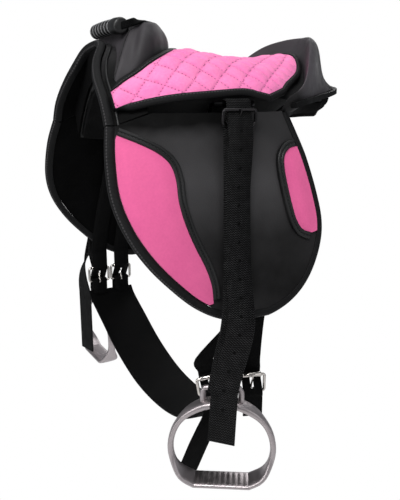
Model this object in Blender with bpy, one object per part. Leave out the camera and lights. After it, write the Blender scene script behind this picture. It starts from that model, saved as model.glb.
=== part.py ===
"""Pony saddle with stirrups and girth, modelled as separate pieces.

The horse would look along -X, the rider's left is -Y and +Z is up.
The origin is the middle of the tree's flat underside, where a saddle rack carries it.
Every size below is in millimetres, and MM turns it into Blender's metres.
"""

import math

import bmesh
import bpy
from mathutils import Matrix, Vector
from mathutils.geometry import delaunay_2d_cdt

MM = 0.001
GAP = 0.3
LEFT, RIGHT = -1, 1
SIDES = {"left": LEFT, "right": RIGHT}

# Saddle sections: half width and height from the centre line down to the flap's lower lip
FRONT_X, MID_FRONT_X, MID_REAR_X, REAR_X = -150, -60, 20, 150
FLAP_LOWER = [(123, -45), (133, -86), (142, -125), (151, -168), (157, -226)]
SKIN_FRONT = [(0, 68), (22, 60), (34, 41), (53, 24), (76, 6), (90, -10),
              (108, -45), (124, -86), (141, -125), (151, -168), (157, -226)]
SKIN_MID = [(0, 51), (45, 48), (78, 38), (98, 22), (108, 5), (114, -10)] + FLAP_LOWER
SKIN_REAR = [(0, 52), (28, 48), (50, 30), (66, 12), (80, -2), (98, -12)] + FLAP_LOWER
SEAT_DIP, DIP_FROM, DIP_TO = 8, -30, 130

# Tree and the panels under it: half width and height, centre outwards
TREE_FRONT = [(0, 36), (16, 29), (24, 20), (40, 2), (58, -19), (74, -39)]
TREE_MID = [(0, 5), (26, 5), (52, 2), (74, -8), (90, -24), (98, -44)]
TREE_REAR = [(0, 9), (17, 9), (24, 8), (30, 7), (36, 5), (40, 3)]
TREE_START, TREE_END, TREE_THICKNESS = -118, 162, 5
FOAM_START, FOAM_END, FOAM_EDGE, FOAM_DEPTH = -98, 132, 4.0, 1.2
ARCH_CORE_START, ARCH_CORE_END = -113, -104
STATION_STEP, LAYER_GAP, FILL_GAP = 20, 1.5, 2.8
PANEL_START, PANEL_END, PANEL_CROWN = -118, 175, 22
PANEL_ROUND, PANEL_LIFT = 0.8, 5.4
PANEL_PLACES = 1, 1.5, 2, 2.5, 3, 3.5, 4, 4.5, 4.9

# Flap: its edge as points in X and Z, and its thickness
FLAP_EDGE = [(58, -11), (66, -34), (76, -64), (84, -97), (88, -130), (82, -158), (66, -190),
             (44, -212), (14, -225), (-18, -227), (-50, -220), (-78, -205), (-104, -182),
             (-128, -155), (-146, -125), (-155, -92), (-154, -54), (-148, -23.6)]
FLAP_TOP = [(-101, -11.5), (-80, -11.5), (-60, -11.5), (-30, -11.5), (0, -11.5), (28, -11.5)]
FLAP_THICKNESS, BINDING_WIDTH = 6, 9

# Pink panels on the flap: the inner side of each outline, in X and Z
KNEE_LINE = [(-139, -33), (-120, -41), (-103, -50), (-92, -61), (-88, -76), (-88, -98),
             (-84, -120), (-76, -143), (-67, -163), (-61, -183), (-60, -201)]
THIGH_LINE = [(58, -49), (49, -51.5), (42, -60), (41, -74), (43, -92), (46, -110),
              (50, -126), (57, -137), (70, -142)]
PANEL_LOW, PANEL_HIGH, WELT_HIGH = 1.2, 3.2, 4.5

# Seat cover: plan outline of one half, in X and Y, and its lower edge in X and Z
COVER_FRONT = [(-27, 0), (-32, 17), (-44, 36), (-59, 57), (-76, 72), (-95, 76), (-117, 75.5), (-134.5, 79.5)]
COVER_LOWER = [(-135, -9.5), (-125, -6.5), (-101, -1), (-78, 2), (-53, 4), (-27, 6), (-3, 7), (13, 4.5), (28, 2)]
COVER_REAR = [(54, 99), (80, 78), (103, 59), (117, 40), (123, 20), (124, 0)]
COVER_THICKNESS, COVER_BINDING, QUILT_STEP, QUILT_CROWN = 5, 6.5, 14, 2.2
TUCK_X = -119
SKIRT_FLARE, FLARE_FROM, FLARE_TO = 5.0, 24, 6
FLARE_MIDDLE, FLARE_REACH, FLARE_FADE = -25, 35, 50

# Pommel: foot and top outlines of one half in X and Y, from the rear centre to the front centre
POMMEL_FOOT = [(-37, 0), (-41, 15), (-53, 30), (-68, 50), (-86, 66), (-115, 67), (-124, 63), (-112, 40), (-103, 0)]
POMMEL_TOP = [(-58, 0), (-59, 16), (-63, 28), (-70, 36), (-77, 39), (-81, 38), (-84, 33), (-84, 18), (-84, 0)]
POMMEL_LIP, POMMEL_RISE, POMMEL_FACE = (-84, 80), 0.08, (-95, -110)

# Cantle: guide lines of one half from the rear centre to the front end
CANTLE_FOOT = [(133, 0, 50), (130, 23, 48), (125, 45, 43), (112, 68, 33), (91, 94, 18), (70, 110, 9), (51, 117, 2)]
CANTLE_CREST = [(157, 0, 78), (149, 23, 77), (132, 48, 70), (116, 70, 55), (96, 94, 30), (76, 111, 13), (54, 118.5, 4)]
CANTLE_WALL = [(176, 0, 68), (166, 24, 67), (144, 49, 59), (125, 71, 45), (101, 94, 24), (80, 110.5, 10), (57, 118.5, 3)]
CANTLE_WAIST = [(187, 0, 31), (174, 25, 29), (151, 49, 25), (130, 71, 19), (104, 92, 11), (82, 109, 6), (59, 118, 0)]
CANTLE_RIM = [(210, 0, 17), (192, 26, 14), (163, 49, 10), (133, 70, 7), (106, 90, 4), (83, 107, 2), (60, 117, -2)]
CANTLE_UNDER = [(168, 0, 10.5), (162, 22, 10), (141, 43, 7), (121, 62, 2), (96, 88, -5), (75, 103, -9), (55, 109.5, -12)]
CANTLE_ROOT = [(134, 0, 2), (131, 20, 2), (125, 41, 0), (111, 65, -6), (90, 89, -9), (64, 101, -17), (46, 104, -18)]

# Grab handle in front of the pommel
GRIP_HALF, GRIP_RADIUS, GRIP_RIB, GRIP_SAG = 42, 7.5, 1.2, 1
GRIP_CENTRE = (-107, 0, 76.5)
HANDLE_ANCHOR = (-64, 0, 82)
HANDLE_WEB = [(-106, 42.6, 75.5), (-105, 46, 76), (-101, 48.5, 77.3), (-93, 47, 79.9),
              (-85, 42, 81.6), (-76, 36, 82.2), (-66, 31, 82.8)]
WEB_WIDTH, WEB_THICKNESS = 8, 2

# Stirrup straps: centre lines from the bar to the eye of the iron, left and right as they hang
BAR_CENTRE, BAR_RADIUS, BAR_HALF, BAR_END = (-13, 119, -3), 3, 22, (94, -27.2)
STRAP_WIDTH, PLY = 29, 2.0
STRAP_LINES = {
    "left": [(-13, 119, -3), (-19, 132, -60), (-26, 145, -118), (-33, 158, -173),
             (-41, 169, -220), (-54, 177, -254), (-64, 183, -282)],
    "right": [(-13, 119, -3), (-28, 133, -60), (-49, 149, -117), (-68, 166, -171),
              (-76, 176, -215), (-75, 184, -250), (-71, 190, -284)],
}
STRAP_TWIST = {"left": 32, "right": -92}
TAIL_LENGTH = {"left": 53, "right": 96}
TAIL_TWIST = {"left": 54, "right": -108}
TAIL_REACH = {"left": 16, "right": 18}
TAIL_SHIFT = {"left": 9, "right": 6}
TAIL_LEAN = {"left": -0.11, "right": 0.15}
BUCKLE_DROP, BUCKLE_LEAN, STRAP_LENGTH = 22, 19, 300

# Iron, seen flat: one half of its arch as across and down from the eye's bar, and bar sizes
IRON_ARCH = [(0, 16), (18, 18.5), (36, 29), (48.5, 46), (53.5, 66), (51, 84), (43, 99), (29, 107.5)]
EYE_BAR, EYE_HALF, EYE_DROP = 3, 19.5, 16
TREAD_HALF, TREAD_DEPTH, TREAD_RIBS = 29, 27, 10

# Girth: band centre line in Y and Z from the left buckles to the right ones, and its ends in X
GIRTH_LINE = [(-147, -327), (-140, -336), (-123, -347), (-93, -358), (-50, -362), (5, -355),
              (60, -333), (108, -303), (137, -283), (147, -271)]
GIRTH_WIDTH, GIRTH_THICKNESS = 66, 3.5
GIRTH_LEFT_X, GIRTH_RIGHT_X, GIRTH_LEFT_YAW = -31, -64, 18
GIRTH_PIVOT = (-36, 0, -36)
BILLET_WIDTH, BILLET_DEPTH, BILLET_CLEAR = 22, 10.5, 25
BILLET_TOP_HEIGHTS = -27, -41
BILLET_HEIGHTS = -75, -100, -125, -150, -175, -205, -238
BILLETS = {
    "left_front": {
        "top": -16, "bend": 14, "buckle": (-51, -140, -311), "yaw": -18, "roll": 10,
        "tail": 90, "sweep": 0.28, "lean": 0.25, "along": -21,
    },
    "left_rear": {
        "top": 26, "bend": 2.5, "buckle": (-9, -153.5, -313), "yaw": -18, "roll": 0,
        "tail": 22, "sweep": 0, "lean": 0, "along": 23,
    },
    "right_front": {
        "top": -60, "bend": 1, "buckle": (-80.5, 147, -257), "yaw": 0, "roll": 0,
        "tail": 30, "sweep": 0, "lean": 0, "along": -16.5,
    },
    "right_rear": {
        "top": -20, "bend": 1, "buckle": (-47.5, 147, -257), "yaw": 0, "roll": 0,
        "tail": 30, "sweep": 0, "lean": 0, "along": 16.5,
    },
}
GIRTH_FRAME = {"half": 14.5, "height": 20, "wire": 1.7, "roller": 2.9}
STIRRUP_FRAME = {"half": 19.5, "height": 15, "wire": 1.7, "roller": 0}
ROLLER_BORE, TONGUE = 2.15, 1.2

# Colours as they read in daylight, in sRGB
PINK, PINK_SUEDE, BLACK = (0.93, 0.47, 0.70), (0.86, 0.37, 0.62), (0.035, 0.035, 0.04)
WEB_BLACK, RUBBER_BLACK = (0.03, 0.03, 0.033), (0.05, 0.05, 0.055)
STEEL, ALUMINIUM, FOAM = (0.75, 0.73, 0.70), (0.62, 0.62, 0.64), (0.08, 0.08, 0.085)


# Curves and surfaces

def smooth(t):
    """Eases from 0 to 1 as t goes from 0 to 1."""
    t = min(max(t, 0.0), 1.0)
    return t * t * (3 - 2 * t)


def curve_at(points, t):
    """The point at t, from 0 to the last index, on a smooth curve through the points."""
    last = len(points) - 1
    i = min(max(int(t), 0), last - 1)
    f = t - i
    around = points[max(i - 1, 0)], points[i], points[i + 1], points[min(i + 2, last)]
    return tuple(
        0.5 * (2 * b + (c - a) * f + (2 * a - 5 * b + 4 * c - d) * f * f + (3 * b - a - 3 * c + d) * f ** 3)
        for a, b, c, d in zip(*around)
    )


def sampled(points, per_span):
    """Points along the smooth curve, per_span of them to each stretch between two given points."""
    count = (len(points) - 1) * per_span
    return [curve_at(points, i / per_span) for i in range(count + 1)]


def blended(x, u, front, mid, rear):
    """A half section's width and height at place u, eased between three stations along X."""
    y, z = curve_at(mid, u)
    if x < MID_FRONT_X:
        share, other = smooth((MID_FRONT_X - x) / (MID_FRONT_X - FRONT_X)), curve_at(front, u)
    else:
        share, other = smooth((x - MID_REAR_X) / (REAR_X - MID_REAR_X)), curve_at(rear, u)
    return y + (other[0] - y) * share, z + (other[1] - z) * share


def section(x, u):
    """The saddle's outer half section at X: width and height, for u from 0 on top to 10 at the lip."""
    y, z = blended(x, u, SKIN_FRONT, SKIN_MID, SKIN_REAR)
    along = min(max((x - DIP_FROM) / (DIP_TO - DIP_FROM), 0), 1)
    return y, z - SEAT_DIP * math.sin(math.pi * along) * max(0.0, 1 - (u / 4) ** 2)


def skin_normal(x, u):
    """The outward normal of the right half of the saddle's skin."""
    d = 0.02
    across = Vector((0, *section(x, u + d))) - Vector((0, *section(x, max(u - d, 0))))
    along = Vector((2, *section(x + 1, u))) - Vector((0, *section(x - 1, u)))
    return along.cross(across).normalized()


def skin(x, u, out=0.0, side=RIGHT):
    """A point on the saddle's skin, moved out along its normal; a negative u crosses the centre line."""
    if u < 0:
        u, side = -u, -side
    y, z = section(x, u)
    n = skin_normal(x, u)
    if u == 0:
        n = Vector((n.x, 0, n.z)).normalized()
    p = Vector((x, y, z)) + n * out
    return Vector((p.x, p.y * side, p.z))


def place_at(x, value, axis):
    """The place u where the section reaches a half width (axis 0) or a height (axis 1)."""
    low, high = 0.0, 10.0
    rising = 1 if axis == 0 else -1
    for _ in range(30):
        middle = (low + high) / 2
        if (section(x, middle)[axis] - value) * rising < 0:
            low = middle
        else:
            high = middle
    return (low + high) / 2


def at_height(x, z):
    """The place u on the section at X where the skin has the height z."""
    return place_at(x, z, 1)


def at_width(x, y):
    """The place u on the section at X where the skin has the half width y."""
    return place_at(x, y, 0) if y > 0 else 0.0


# Materials and objects

def linear(colour):
    """Turns an sRGB colour into the linear values that Blender's shaders take."""
    return [c / 12.92 if c <= 0.04045 else ((c + 0.055) / 1.055) ** 2.4 for c in colour]


def material(name, colour, roughness, metallic=0.0):
    """A Principled material with one colour."""
    made = bpy.data.materials.new(name)
    made.use_nodes = True
    shader = made.node_tree.nodes["Principled BSDF"]
    shader.inputs["Base Color"].default_value = (*linear(colour), 1)
    shader.inputs["Roughness"].default_value = roughness
    shader.inputs["Metallic"].default_value = metallic
    made.diffuse_color = (*linear(colour), 1)
    return made


class Pivot:
    """An empty on a joint's axis, which the moving pieces have as their parent."""

    def __init__(self, name, at, parent=None):
        self.at = Vector(at)
        self.empty = bpy.data.objects.new(name, None)
        self.empty.empty_display_size = 0.01
        self.empty.location = (self.at - (parent.at if parent else Vector())) * MM
        self.empty.parent = parent.empty if parent else None
        bpy.context.scene.collection.objects.link(self.empty)


def add_object(name, vertices, faces, finish, pivot=None):
    """Makes a closed, outward facing mesh object from points in millimetres."""
    shift = pivot.at if pivot else Vector()
    mesh = bpy.data.meshes.new(name)
    mesh.from_pydata([(Vector(v) - shift) * MM for v in vertices], [], faces)
    work = bmesh.new()
    work.from_mesh(mesh)
    bmesh.ops.remove_doubles(work, verts=work.verts, dist=0.00001)
    bmesh.ops.recalc_face_normals(work, faces=work.faces)
    work.to_mesh(mesh)
    work.free()
    mesh.materials.append(finish)
    mesh.shade_smooth()
    mesh.set_sharp_from_angle(angle=math.radians(40))
    made = bpy.data.objects.new(name, mesh)
    made.parent = pivot.empty if pivot else None
    bpy.context.scene.collection.objects.link(made)
    return made


def loft(rings, closed=False):
    """Joins equal rings of points into one solid, capped at both ends unless it closes on itself."""
    size = len(rings[0])
    vertices = [p for ring in rings for p in ring]
    faces = []
    for i in range(len(rings) if closed else len(rings) - 1):
        a, b = i * size, (i + 1) % len(rings) * size
        for j in range(size):
            k = (j + 1) % size
            faces.append((a + j, a + k, b + k, b + j))
    if not closed:
        faces.append(tuple(range(size)))
        faces.append(tuple(range(len(vertices) - 1, len(vertices) - 1 - size, -1)))
    return vertices, faces


def sweep(stations, profile, closed=False):
    """Carries a profile along stations, each a point with the profile's two directions there."""
    rings = [[o + a * p + b * q for p, q in profile] for o, a, b in stations]
    return loft(rings, closed)


def circle(radius, sides):
    """The points of a circle round the origin, as pairs."""
    turns = [2 * math.pi * i / sides for i in range(sides)]
    return [(radius * math.cos(t), radius * math.sin(t)) for t in turns]


def rod_stations(path, up):
    """Stations along a path, with the second direction as near to up as the path allows."""
    path = [Vector(p) for p in path]
    stations = []
    for i, p in enumerate(path):
        ahead = (path[min(i + 1, len(path) - 1)] - path[max(i - 1, 0)]).normalized()
        a = ahead.cross(Vector(up)).normalized()
        stations.append((p, a, a.cross(ahead).normalized()))
    return stations


def sheet(outline, inside, edges, place, low, high):
    """Fills a flat outline and lifts it onto two surfaces: a closed sheet between low and high."""
    points = [Vector(p) for p in outline] + [Vector(p) for p in inside]
    count = len(outline)
    rim = [(i, (i + 1) % count) for i in range(count)]
    held = [(a + count, b + count) for a, b in edges]
    flat, _, triangles, *_ = delaunay_2d_cdt(points, rim + held, [list(range(count))], 1, 1e-4)
    top = [place(p, high) for p in flat]
    bottom = [place(p, low) for p in flat]
    n = len(flat)
    faces = [tuple(f) for f in triangles] + [tuple(n + i for i in reversed(f)) for f in triangles]
    used = {}
    for f in triangles:
        for a, b in zip(f, f[1:] + f[:1]):
            used[(a, b)] = True
    for a, b in used:
        if (b, a) not in used:
            faces.append((b, a, n + a, n + b))
    return top + bottom, faces


def inside_outline(p, outline):
    """Whether a flat point lies inside a closed outline."""
    x, y = p
    found = False
    for (x0, y0), (x1, y1) in zip(outline, outline[1:] + outline[:1]):
        if (y0 > y) != (y1 > y) and x < (x1 - x0) * (y - y0) / (y1 - y0) + x0:
            found = not found
    return found


def far_from_outline(p, outline, least):
    """Whether a flat point is at least so far from every edge of an outline."""
    p = Vector(p)
    for a, b in zip(outline, outline[1:] + outline[:1]):
        a, b = Vector(a), Vector(b)
        along = b - a
        t = min(max((p - a).dot(along) / max(along.length_squared, 1e-9), 0), 1)
        if (a + along * t - p).length < least:
            return False
    return True


def grid_inside(outline, step):
    """Points of a square grid that lie inside an outline and not too near its edge."""
    xs, ys = [p[0] for p in outline], [p[1] for p in outline]
    found = []
    for i in range(math.floor(min(xs) / step), math.ceil(max(xs) / step)):
        for j in range(math.floor(min(ys) / step), math.ceil(max(ys) / step)):
            p = (i * step, j * step)
            if inside_outline(p, outline) and far_from_outline(p, outline, step * 0.4):
                found.append(p)
    return found


# The static body of the saddle

def tree_line(x, drop=0.0):
    """The tree's upper line at X from left to right, moved down by drop."""
    right = [blended(x, u, TREE_FRONT, TREE_MID, TREE_REAR) for u in range(len(TREE_MID))]
    line = [Vector((x, -y, z - drop)) for y, z in reversed(right[1:])]
    return line + [Vector((x, y, z - drop)) for y, z in right]


def stations_between(start, end):
    """The tree's stations along X from start to end, both of which are stations too."""
    count = (TREE_END - TREE_START) // STATION_STEP
    grid = [TREE_START + STATION_STEP * i for i in range(count + 1)]
    return [start] + [x for x in grid if start + 1 < x < end - 1] + [end]


def make_tree(finish):
    """The rigid shell that everything is built on."""
    rings = []
    for x in stations_between(TREE_START, TREE_END):
        rings.append(tree_line(x) + list(reversed(tree_line(x, TREE_THICKNESS))))
    add_object("tree", *loft(rings), finish)


def make_filling(name, start, end, depth, finish):
    """A solid that fills the room between the tree and the skin from one station to another."""
    rings = []
    across = 12
    for x in stations_between(start, end):
        reach = FOAM_EDGE - smooth((x - 60) / 60)
        top = [skin(x, reach * (2 * j / across - 1), -depth) for j in range(across + 1)]
        below = tree_line(x, -FILL_GAP)[1:-1]
        rings.append(top + list(reversed(below)))
    add_object(name, *loft(rings), finish)


def triangulate(made):
    """Cut every face of the object's mesh into triangles."""
    work = bmesh.new()
    work.from_mesh(made.data)
    bmesh.ops.triangulate(work, faces=work.faces)
    work.to_mesh(made.data)
    work.free()


def add_boolean(target, cutter, operation="DIFFERENCE"):
    """Cuts one solid from another, or joins the two."""
    triangulate(target)
    triangulate(cutter)
    cut = target.modifiers.new("cut", "BOOLEAN")
    cut.operation = operation
    cut.object = cutter
    cut.solver = "EXACT"
    cutter.hide_render = True
    cutter.display_type = "WIRE"


def make_core_cutter(finish):
    """What lies under the pommel and the cantle, for trimming them: the skin, and the tree behind it."""
    rings = []
    for x in [-160 + 18 * i for i in range(17)] + [FOAM_END + 0.6]:
        top = [skin(x, 6 * (j / 12 - 1), GAP) for j in range(25)]
        rings.append(top + [Vector((x, 108, -60)), Vector((x, -108, -60))])
    for x in (FOAM_END + 0.7, 142, TREE_END + 1):
        line = [Vector((x, p.y, p.z)) for p in tree_line(min(x, TREE_END), -FILL_GAP)]
        top = []
        for j in range(25):
            at = j * (len(line) - 1) / 24
            i = min(int(at), len(line) - 2)
            top.append(line[i].lerp(line[i + 1], at - i))
        rings.append(top + [Vector((x, 52, -60)), Vector((x, -52, -60))])
    return add_object("core_cutter", *loft(rings), finish)


def mirrored_loop(half):
    """A closed plan outline from one half's points, which begin and end on the centre line."""
    return half + [(x, -y) for x, y in reversed(half[1:-1])]


def make_pommel(finish, core):
    """The padded pommel: a block that rounds over from its foot to a flat top."""
    foot = mirrored_loop(sampled(POMMEL_FOOT, 2))
    top = mirrored_loop(sampled(POMMEL_TOP, 2))
    rings = []
    for t in (-0.25, 0.0, 0.2, 0.4, 0.6, 0.8, 0.93, 1.0):
        rounded = 1 - math.cos(max(t, 0) * math.pi / 2)
        upwards = math.sin(max(t, 0) * math.pi / 2)
        ring = []
        for (fx, fy), (tx, ty) in zip(foot, top):
            flat = smooth((fx - POMMEL_FACE[0]) / (POMMEL_FACE[1] - POMMEL_FACE[0]))
            inwards = rounded + (max(t, 0) - rounded) * flat
            base = section(fx, at_width(fx, abs(fy)))[1] - 3
            lip = POMMEL_LIP[1] + (tx - POMMEL_LIP[0]) * POMMEL_RISE
            z = base + (lip - base) * upwards - (12 if t < 0 else 0)
            ring.append(Vector((fx + (tx - fx) * inwards, fy + (ty - fy) * inwards, z)))
        rings.append(ring)
    pommel = add_object("pommel", *loft(rings), finish)
    add_boolean(pommel, core)


def cantle_ring(s, side):
    """The cantle's section at place s, from 0 at the rear centre to 6 at its front end."""
    lines = CANTLE_FOOT, CANTLE_CREST, CANTLE_WALL, CANTLE_WAIST, CANTLE_RIM, CANTLE_UNDER, CANTLE_ROOT
    foot, crest, wall, waist, rim, under, root = (
        Vector((x, y * side, z)) for x, y, z in (curve_at(line, s) for line in lines)
    )
    high = Vector((0, 0, 1)) * (1 - smooth((s - 2) / 3))
    edge = Vector((0, 0, 1.5))
    ledge = rim.lerp(under, 0.45)
    ledge.z = rim.z - 1.6
    return [
        root, foot, foot.lerp(crest, 0.4) - high * 3, foot.lerp(crest, 0.8) - high,
        crest + high, crest.lerp(wall, 0.5) + high * 2.5, wall, wall.lerp(waist, 0.5) + high,
        waist, waist.lerp(rim, 0.5) - high * 2, rim, rim - edge, ledge, under,
    ]


def make_cantle(finish, core):
    """The raised back of the seat, a scoop that runs forward to a thin end on each side."""
    places = [6 * i / 14 for i in range(15)]
    rings = [cantle_ring(s, LEFT) for s in reversed(places)] + [cantle_ring(s, RIGHT) for s in places[1:]]
    cantle = add_object("cantle", *loft(rings), finish)
    add_boolean(cantle, core)


def make_rim(finish):
    """The piped welt along the cantle's lower rim."""
    half = sampled(CANTLE_RIM, 3)
    line = [(x, -y, z) for x, y, z in reversed(half[1:])] + half
    profile = [(-2.4, -2.2), (1.5, -2.2), (2.8, 0), (1.5, 2.2), (-2.4, 2.2)]
    path = [Vector(p) + Vector((0, 0, -4.1)) for p in line]
    stations = rod_stations(path, (0, 0, 1))
    add_object("cantle_welt", *sweep([(o, -a, b) for o, a, b in stations], profile), finish)


def panel_ring(x, side):
    """A stuffed panel's section at X: flat against the tree and crowned towards the pony's back."""
    share = (x - PANEL_START) / (PANEL_END - PANEL_START)
    least = 0.16 + 0.76 * smooth((share - 0.55) / 0.3)
    full = PANEL_CROWN * max(least, math.sin(math.pi * min(max(share, 0.02), 0.98)) ** 0.45)
    behind = min(max((x - TREE_END) / (PANEL_END - TREE_END), 0), 1)
    full *= math.sqrt(1 - (PANEL_ROUND * behind) ** 2)
    lift = PANEL_LIFT * smooth((x - TREE_END - 0.6) / 3.4)
    line = tree_line(min(x, TREE_END))[len(TREE_MID) - 1:]
    top, crown = [], []
    for u in PANEL_PLACES:
        across = (u - PANEL_PLACES[0]) / (PANEL_PLACES[-1] - PANEL_PLACES[0])
        a, b = line[int(u)], line[int(u) + 1]
        seat = a.lerp(b, u - int(u)) - Vector((0, 0, TREE_THICKNESS + LAYER_GAP - lift))
        inwards = Vector((0, b.z - a.z, a.y - b.y)).normalized()
        seat.x = x
        top.append(seat)
        low = seat + inwards * (2 + full * math.sin(math.pi * (0.06 + 0.88 * across)) ** 0.6)
        low.y = max(low.y, top[0].y + 0.2)
        crown.append(low)
    return [Vector((p.x, p.y * side, p.z)) for p in top + list(reversed(crown))]


def make_panel(name, side, finish):
    """One of the two stuffed panels, with the open gullet between them."""
    places = stations_between(PANEL_START, TREE_END)
    places += [TREE_END + 0.6, TREE_END + 4, PANEL_END - 3, PANEL_END]
    rings = [panel_ring(x, side) for x in places]
    add_object(name, *loft(rings), finish)


# Seat cover

def cover_edge():
    """The cover's right half outline as X and place u, from the front centre to the rear centre."""
    front = [(x, at_width(x, y)) for x, y in sampled(COVER_FRONT, 3)]
    lower = [(x, at_height(x, z)) for x, z in sampled(COVER_LOWER, 2)]
    rear = [(x, at_width(x, y)) for x, y in sampled(COVER_REAR, 2)]
    return front + lower + rear


def arc_table(x):
    """Distances along the section at X from the centre line, one for each tenth of a place."""
    table, total, last = [0.0], 0.0, section(x, 0)
    for i in range(1, 61):
        here = section(x, i / 10)
        total += math.dist(last, here)
        table.append(total)
        last = here
    return table


def arc_length(x, u):
    """The signed distance along the section from the centre line to place u."""
    table = arc_table(x)
    i = min(int(abs(u) * 10), 59)
    length = table[i] + (table[i + 1] - table[i]) * (abs(u) * 10 - i)
    return math.copysign(length, u)


def place_from_arc(x, length):
    """The place u at a signed distance along the section."""
    table = arc_table(x)
    for i in range(60):
        if table[i + 1] >= abs(length):
            u = (i + (abs(length) - table[i]) / (table[i + 1] - table[i])) / 10
            return math.copysign(u, length)
    return math.copysign(6.0, length)


def flare(x, u):
    """How far the skirt of the cover stands off, to let the stirrup strap out from under it."""
    low = smooth((FLARE_FROM - section(x, abs(u))[1]) / (FLARE_FROM - FLARE_TO))
    beyond = (abs(x - FLARE_MIDDLE) - FLARE_REACH) / FLARE_FADE
    return SKIRT_FLARE * low * (1 - smooth(beyond))


def make_cover(finish):
    """The quilted seat cover: diamonds between sewn lines, each with a low crown."""
    half = [(x, arc_length(x, u)) for x, u in cover_edge()]
    outline = half + [(x, -s) for x, s in reversed(half[1:-1])]
    inside = grid_inside(outline, QUILT_STEP)
    number = {p: i for i, p in enumerate(inside)}
    seams = []
    for (x, s), i in number.items():
        if round((x + s) / QUILT_STEP) % 2 == 0:
            for step in (QUILT_STEP, -QUILT_STEP):
                if (x + QUILT_STEP, s + step) in number:
                    seams.append((i, number[(x + QUILT_STEP, s + step)]))
    crowned = {p for p in inside if round((p[0] + p[1]) / QUILT_STEP) % 2}

    def place(p, height):
        x, s = p
        u = place_from_arc(x, s)
        key = (round(x, 3), round(s, 3))
        crown = QUILT_CROWN if height > 1 and key in crowned else 0.0
        return skin(x, u, flare(x, u) + height + crown)

    crowned = {(round(x, 3), round(s, 3)) for x, s in crowned}
    add_object("seat_cover", *sheet(outline, inside, seams, place, GAP, COVER_THICKNESS), finish)


def skin_stations(path, side, closed=False, flared=False):
    """Stations along a line of X and u on the skin: point, inward direction and normal."""
    stations = []
    last = len(path) - 1
    for i, (x, u) in enumerate(path):
        before = path[i - 1] if i or closed else path[0]
        after = path[(i + 1) % len(path)] if i < last or closed else path[last]
        ahead = (skin(*after, 0, side) - skin(*before, 0, side)).normalized()
        up = (skin(x, u, 1, side) - skin(x, u, 0, side)).normalized()
        lift = flare(x, u) if flared else 0.0
        stations.append((skin(x, u, lift, side), up.cross(ahead).normalized(), up))
    return stations


def make_cover_binding(finish):
    """The black binding sewn all round the seat cover."""
    half = cover_edge()
    path = half + [(x, -u) for x, u in reversed(half[1:-1])]
    low, high = GAP, COVER_THICKNESS + 1.5
    outer = COVER_BINDING
    profile = [(0.6, low), (0.6, high), (outer - 2, high), (outer, high - 1.5), (outer, low)]
    stations = []
    for (x, u), (o, a, n) in zip(path, skin_stations(path, RIGHT, closed=True, flared=True)):
        tuck = 0.8 * smooth((TUCK_X - x) / 14)
        stations.append((o + a * tuck * 0.6, a * (1 - tuck), n))
    add_object("seat_binding", *sweep(stations, profile, closed=True), finish)


# Front arch

def arch_edge():
    """The front edge from the centre line down to the flap, as X and place u."""
    points = [(-122, 0.0), (-128, 1.0), (-138, 2.0), (-144, 3.0), (-146.5, 4.0)]
    points.append((-148, at_height(-148, -22.5)))
    return sampled(points, 3)


def make_arch(finish, trim):
    """The front of both flaps above the hinge line, which meet under the handle, and their binding."""
    edge = arch_edge()
    inner = []
    for x, u in edge:
        inner.append((x + BINDING_WIDTH + GAP + 0.5, u))
    back = [(-104.5, at_height(-104.5, -10.8)), (-104.5, 3.0), (-104.5, 1.5), (-104.5, 0.0)]
    half = inner + back

    def flat(x, u):
        return x, 26 * u

    outline = [flat(x, u) for x, u in half] + [flat(x, -u) for x, u in reversed(half[1:-1])]
    inside = grid_inside(outline, 15)

    def place(p, height):
        return skin(p[0], p[1] / 26, height)

    add_object("front_arch", *sheet(outline, inside, [], place, -FLAP_THICKNESS, -1), finish)
    path = [(x, -u) for x, u in reversed(edge[1:])] + edge
    profile = [(0, -7), (BINDING_WIDTH, -7), (BINDING_WIDTH, 1.2), (1.5, 1.2), (0, -0.5)]
    stations = skin_stations(path, RIGHT)
    add_object("front_arch_binding", *sweep([(o, -a, n) for o, a, n in stations], profile), trim)


# Flaps

def flap_path():
    """The flap's edge as X and place u, from the rear top corner round to the front one."""
    return [(x, at_height(x, z)) for x, z in sampled(FLAP_EDGE, 2)]


def flap_inner(distance):
    """The flap's edge moved inwards along the surface, as X and Z."""
    stations = skin_stations(flap_path(), RIGHT)
    return [((o + a * distance).x, (o + a * distance).z) for o, a, n in stations]


def on_flap(side):
    """Lifts a flat point in X and Z onto the flap, a height above its outer face."""
    def place(p, height):
        return skin(p[0], at_height(p[0], p[1]), height, side)
    return place


def make_flap(name, side, finish, trim, pivot):
    """The flap's sheet and the binding round its edge."""
    outline = flap_inner(BINDING_WIDTH + 1)
    outline[0] = (outline[0][0], FLAP_EDGE[0][1])
    outline[-1] = (outline[-1][0], FLAP_EDGE[-1][1])
    outline += FLAP_TOP
    inside = grid_inside(outline, 24)
    add_object(name, *sheet(outline, inside, [], on_flap(side), -FLAP_THICKNESS, 0), finish, pivot)
    profile = [(0, -5.5), (1.5, -7), (BINDING_WIDTH, -7), (BINDING_WIDTH, 1.2), (1.5, 1.2), (0, -0.3)]
    stations = skin_stations(flap_path(), RIGHT)
    flip = Vector((1, side, 1))
    turned = [(o * flip, a * flip, n * flip) for o, a, n in stations]
    add_object(name + "_binding", *sweep(turned, profile), trim, pivot)


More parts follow.
